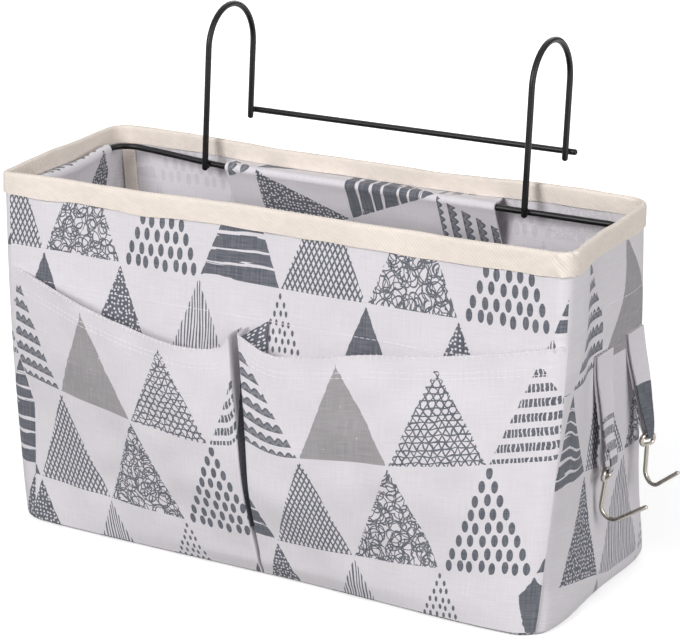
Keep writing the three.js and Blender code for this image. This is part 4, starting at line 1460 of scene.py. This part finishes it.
def make_key_hook(end, strap):
    """Bent wire: an eye in the strap's fold and a J below it that opens away from the wall."""
    radius = bpy.context.scene.caddy_wire.key_diameter / MM / 2
    straight = EYE_HALF_WIDTH - EYE_BEND
    eye = np.concatenate([
        arc((straight, 0), EYE_BEND, -90, 90, 12), arc((-straight, 0), EYE_BEND, 90, 270, 12)])
    eye = grid_of(0.0, eye[:, 0], eye[:, 1] * EYE_HALF_HEIGHT / EYE_BEND - EYE_HALF_HEIGHT)
    top = -2 * EYE_HALF_HEIGHT
    foot = top - KEY_SHANK
    shank = grid_of(0.0, np.linspace(top, foot, 8)[:-1])
    bend = arc((KEY_BEND, foot), KEY_BEND, 180, 180 + KEY_SWEEP, 20)
    heading = math.radians(KEY_SWEEP - 90)
    arm = bend[-1] + np.linspace(0, KEY_ARM, 9)[1:, None] * [math.cos(heading), math.sin(heading)]
    flat = np.concatenate([shank, bend, arm])
    jay = grid_of(flat[:, 0], 0.0, flat[:, 1])
    c, s = math.cos(strap.hang), math.sin(strap.hang)
    fabric = Fabric()
    for path, closed in ((eye, True), (jay, False)):
        x, y, z = path.T
        hung = turn_z(grid_of(x * c + z * s, y, z * c - x * s), strap.twist)
        tube(fabric, hung + joint_place(f"{end}_key_swing"), radius, closed)
    body = f"{end}_key_hook"
    fabric.sewn(f"{body}_wire", "nickel_wire", body, body=body)


class CADDY_OT_straps(bpy.types.Operator):
    """Make the two straps and their key hooks"""

    bl_idname = "caddy.straps"
    bl_label = "Straps and key hooks"

    def execute(self, context):
        for make in (make_strap, make_key_hook):
            for end, strap in STRAPS.items():
                make(end, strap)
        return {"FINISHED"}


# Stitches

STITCH, STITCH_GAP = 3.2, 0.5
STITCH_SPOTS = np.array([0.05, 0.25, 0.5, 0.75, 0.95])
STITCH_DIPS = np.array([-0.9, 0.1, 0.25, 0.1, -0.9])[:, None]
THREAD_RADIUS, HEM_THREAD_RADIUS = 0.18, 0.252
WALL_ROWS = {"front": 152.0, "right": 169.0, "left": 169.0, "back": 186.0}
HEM_ROWS = (1 - 9 / 140, 1 - 12 / 140)
OVERLOCKS = 53


def sew(fabric, path, out):
    """Adds a row of stitches along a path of points, which lie on a face that looks out."""
    length = run_length(path)
    for start in np.arange(0.5, length[-1] - STITCH, STITCH + STITCH_GAP):
        points = np.stack([np.interp(start + STITCH * STITCH_SPOTS, length, line) for line in path.T], -1)
        tube(fabric, points + THREAD_RADIUS * STITCH_DIPS * out, THREAD_RADIUS, sides=6)


class CADDY_OT_stitches(bpy.types.Operator):
    """Make the rows of stitches that show on the walls, the back casing and the pockets"""

    bl_idname = "caddy.stitches"
    bl_label = "Stitches"

    def execute(self, context):
        fabric = Fabric()
        thick = cloth_thickness()
        for side, z in WALL_ROWS.items():
            along = np.linspace(*straight_ends(side, z)[:2], 120)
            sew(fabric, settle(flat_point(side, along, 0.0, z)), [*SIDES[side], 0])
        (face, _), _, _, section = casing_grids("back")
        sew(fabric, face[np.abs(section[:, 1] - CASING_STITCH).argmin()], [0, -1, 0])
        over = ((0.988, thick + 0.05), (0.995, thick + 0.2), (1.003, thick / 2), (0.995, -0.2), (0.99, -0.05))
        for right in (False, True):
            for rise in HEM_ROWS:
                sew(fabric, pocket_points(right, np.linspace(0.03, 0.97, 90), rise, thick), [0, -1, 0])
            for share in np.linspace(0.01, 0.99, OVERLOCKS):
                path = [pocket_points(right, share, rise, lie) for rise, lie in over]
                tube(fabric, path, HEM_THREAD_RADIUS, sides=6)
        fabric.sewn("stitches", "printed_cloth", finishes=("spun_polyester_thread",), crease=180)
        return {"FINISHED"}


# Stage

SENSOR_WIDTH, CLIP_END = 36, 20
LAMP_TARGET = (0, 0, 0.12)
LAMPS = {
    "key_soft_box": ((-0.5, -2.0, 1.2), 1.0, 43.5),
    "fill_soft_box": ((1.9, -0.5, 0.8), 1.4, 27),
    "back_soft_box": ((-0.5, 2.2, 1.3), 1.6, 20),
}
FLOOR_HALF, FLOOR_DROP = 6.0, 0.0004


def aim(thing, place, target):
    """Puts a camera or lamp at a place and turns it to a target."""
    thing.location = place
    thing.rotation_euler = (Vector(target) - Vector(place)).to_track_quat("-Z", "Y").to_euler()


def make_camera():
    """The camera at the photograph's viewing angle."""
    stage = bpy.context.scene.caddy_stage
    data = bpy.data.cameras.new("camera")
    data.lens = stage.lens
    data.sensor_width = SENSOR_WIDTH
    data.clip_end = CLIP_END
    camera = add("camera", data)
    a, e = stage.azimuth, stage.elevation
    back = Vector((math.sin(a) * math.cos(e), -math.cos(a) * math.cos(e), math.sin(e)))
    target = Vector(stage.target)
    aim(camera, target + back * stage.distance, target)
    bpy.context.scene.camera = camera


def make_lamp(name, place, size, power):
    """A square soft box that faces the caddy."""
    data = bpy.data.lights.new(name, "AREA")
    data.size = size
    data.energy = power
    aim(add(name, data), place, LAMP_TARGET)


def make_floor():
    """White paper floor that keeps the shadow."""
    mesh = bpy.data.meshes.new("floor")
    corners = [(x * FLOOR_HALF, y * FLOOR_HALF, 0) for x, y in ((-1, -1), (1, -1), (1, 1), (-1, 1))]
    mesh.from_pydata(corners, [], [(0, 1, 2, 3)])
    mesh.materials.append(finish("white_background_paper"))
    floor = add("floor", mesh)
    floor.location.z = -FLOOR_DROP


def make_world():
    """Even white light from all round. The camera sees white, shiny things a room that darkens downwards."""
    world = bpy.data.worlds.new("studio")
    world.use_nodes = True
    tree = world.node_tree
    tree.nodes.clear()
    up = put(tree, "SeparateXYZ", put(tree, "TexCoord"), out=2)
    room = put(tree, "MapRange", up, -0.1, 0.8, 0.12, 1.1)
    glossy = put(tree, "LightPath", out="Is Glossy Ray")
    level = put(tree, "Mix", inputs={0: glossy, 2: bpy.context.scene.caddy_stage.sky, 3: room})
    level = put(tree, "Mix", inputs={0: put(tree, "LightPath"), 2: level, 3: 1.0})
    light = put(tree, "Background", inputs={"Color": (1, 1, 1, 1), "Strength": level})
    put(tree, "OutputWorld", light)
    bpy.context.scene.world = world


class CADDY_OT_stage(bpy.types.Operator):
    """Make the camera, lamps, floor and white surroundings"""

    bl_idname = "caddy.stage"
    bl_label = "Stage"

    def execute(self, context):
        context.scene.view_settings.view_transform = "Standard"
        make_camera()
        make_floor()
        make_world()
        for name, settings in LAMPS.items():
            make_lamp(name, *settings)
        return {"FINISHED"}


class CADDY_PT_sidebar(bpy.types.Panel):
    """Lists the caddy's settings and pieces"""

    bl_idname = "CADDY_PT_sidebar"
    bl_label = "Bedside caddy"
    bl_space_type = "VIEW_3D"
    bl_region_type = "UI"
    bl_category = "Caddy"

    def draw(self, context):
        for group in SETTINGS:
            settings = getattr(context.scene, group)
            box = self.layout.box()
            for name in settings.__annotations__:
                box.prop(settings, name)
        for operator in OPERATORS:
            self.layout.operator(operator.bl_idname)


SETTINGS = {
    "caddy_cloth": CaddyCloth,
    "caddy_tape": CaddyTape,
    "caddy_wire": CaddyWire,
    "caddy_stage": CaddyStage,
}
OPERATORS = (
    CADDY_OT_stage,
    CADDY_OT_box,
    CADDY_OT_board,
    CADDY_OT_rim_tape,
    CADDY_OT_seam_tapes,
    CADDY_OT_hanger,
    CADDY_OT_casings,
    CADDY_OT_pockets,
    CADDY_OT_straps,
    CADDY_OT_stitches,
)


def register():
    for name, group in SETTINGS.items():
        bpy.utils.register_class(group)
        setattr(bpy.types.Scene, name, bpy.props.PointerProperty(type=group))
    for cls in (*OPERATORS, CADDY_PT_sidebar):
        bpy.utils.register_class(cls)


def unregister():
    for cls in (CADDY_PT_sidebar, *reversed(OPERATORS)):
        bpy.utils.unregister_class(cls)
    for name, group in SETTINGS.items():
        delattr(bpy.types.Scene, name)
        bpy.utils.unregister_class(group)


def main():
    register()
    for operator in OPERATORS:
        family, name = operator.bl_idname.split(".")
        getattr(getattr(bpy.ops, family), name)()


if __name__ == "__main__":
    main()
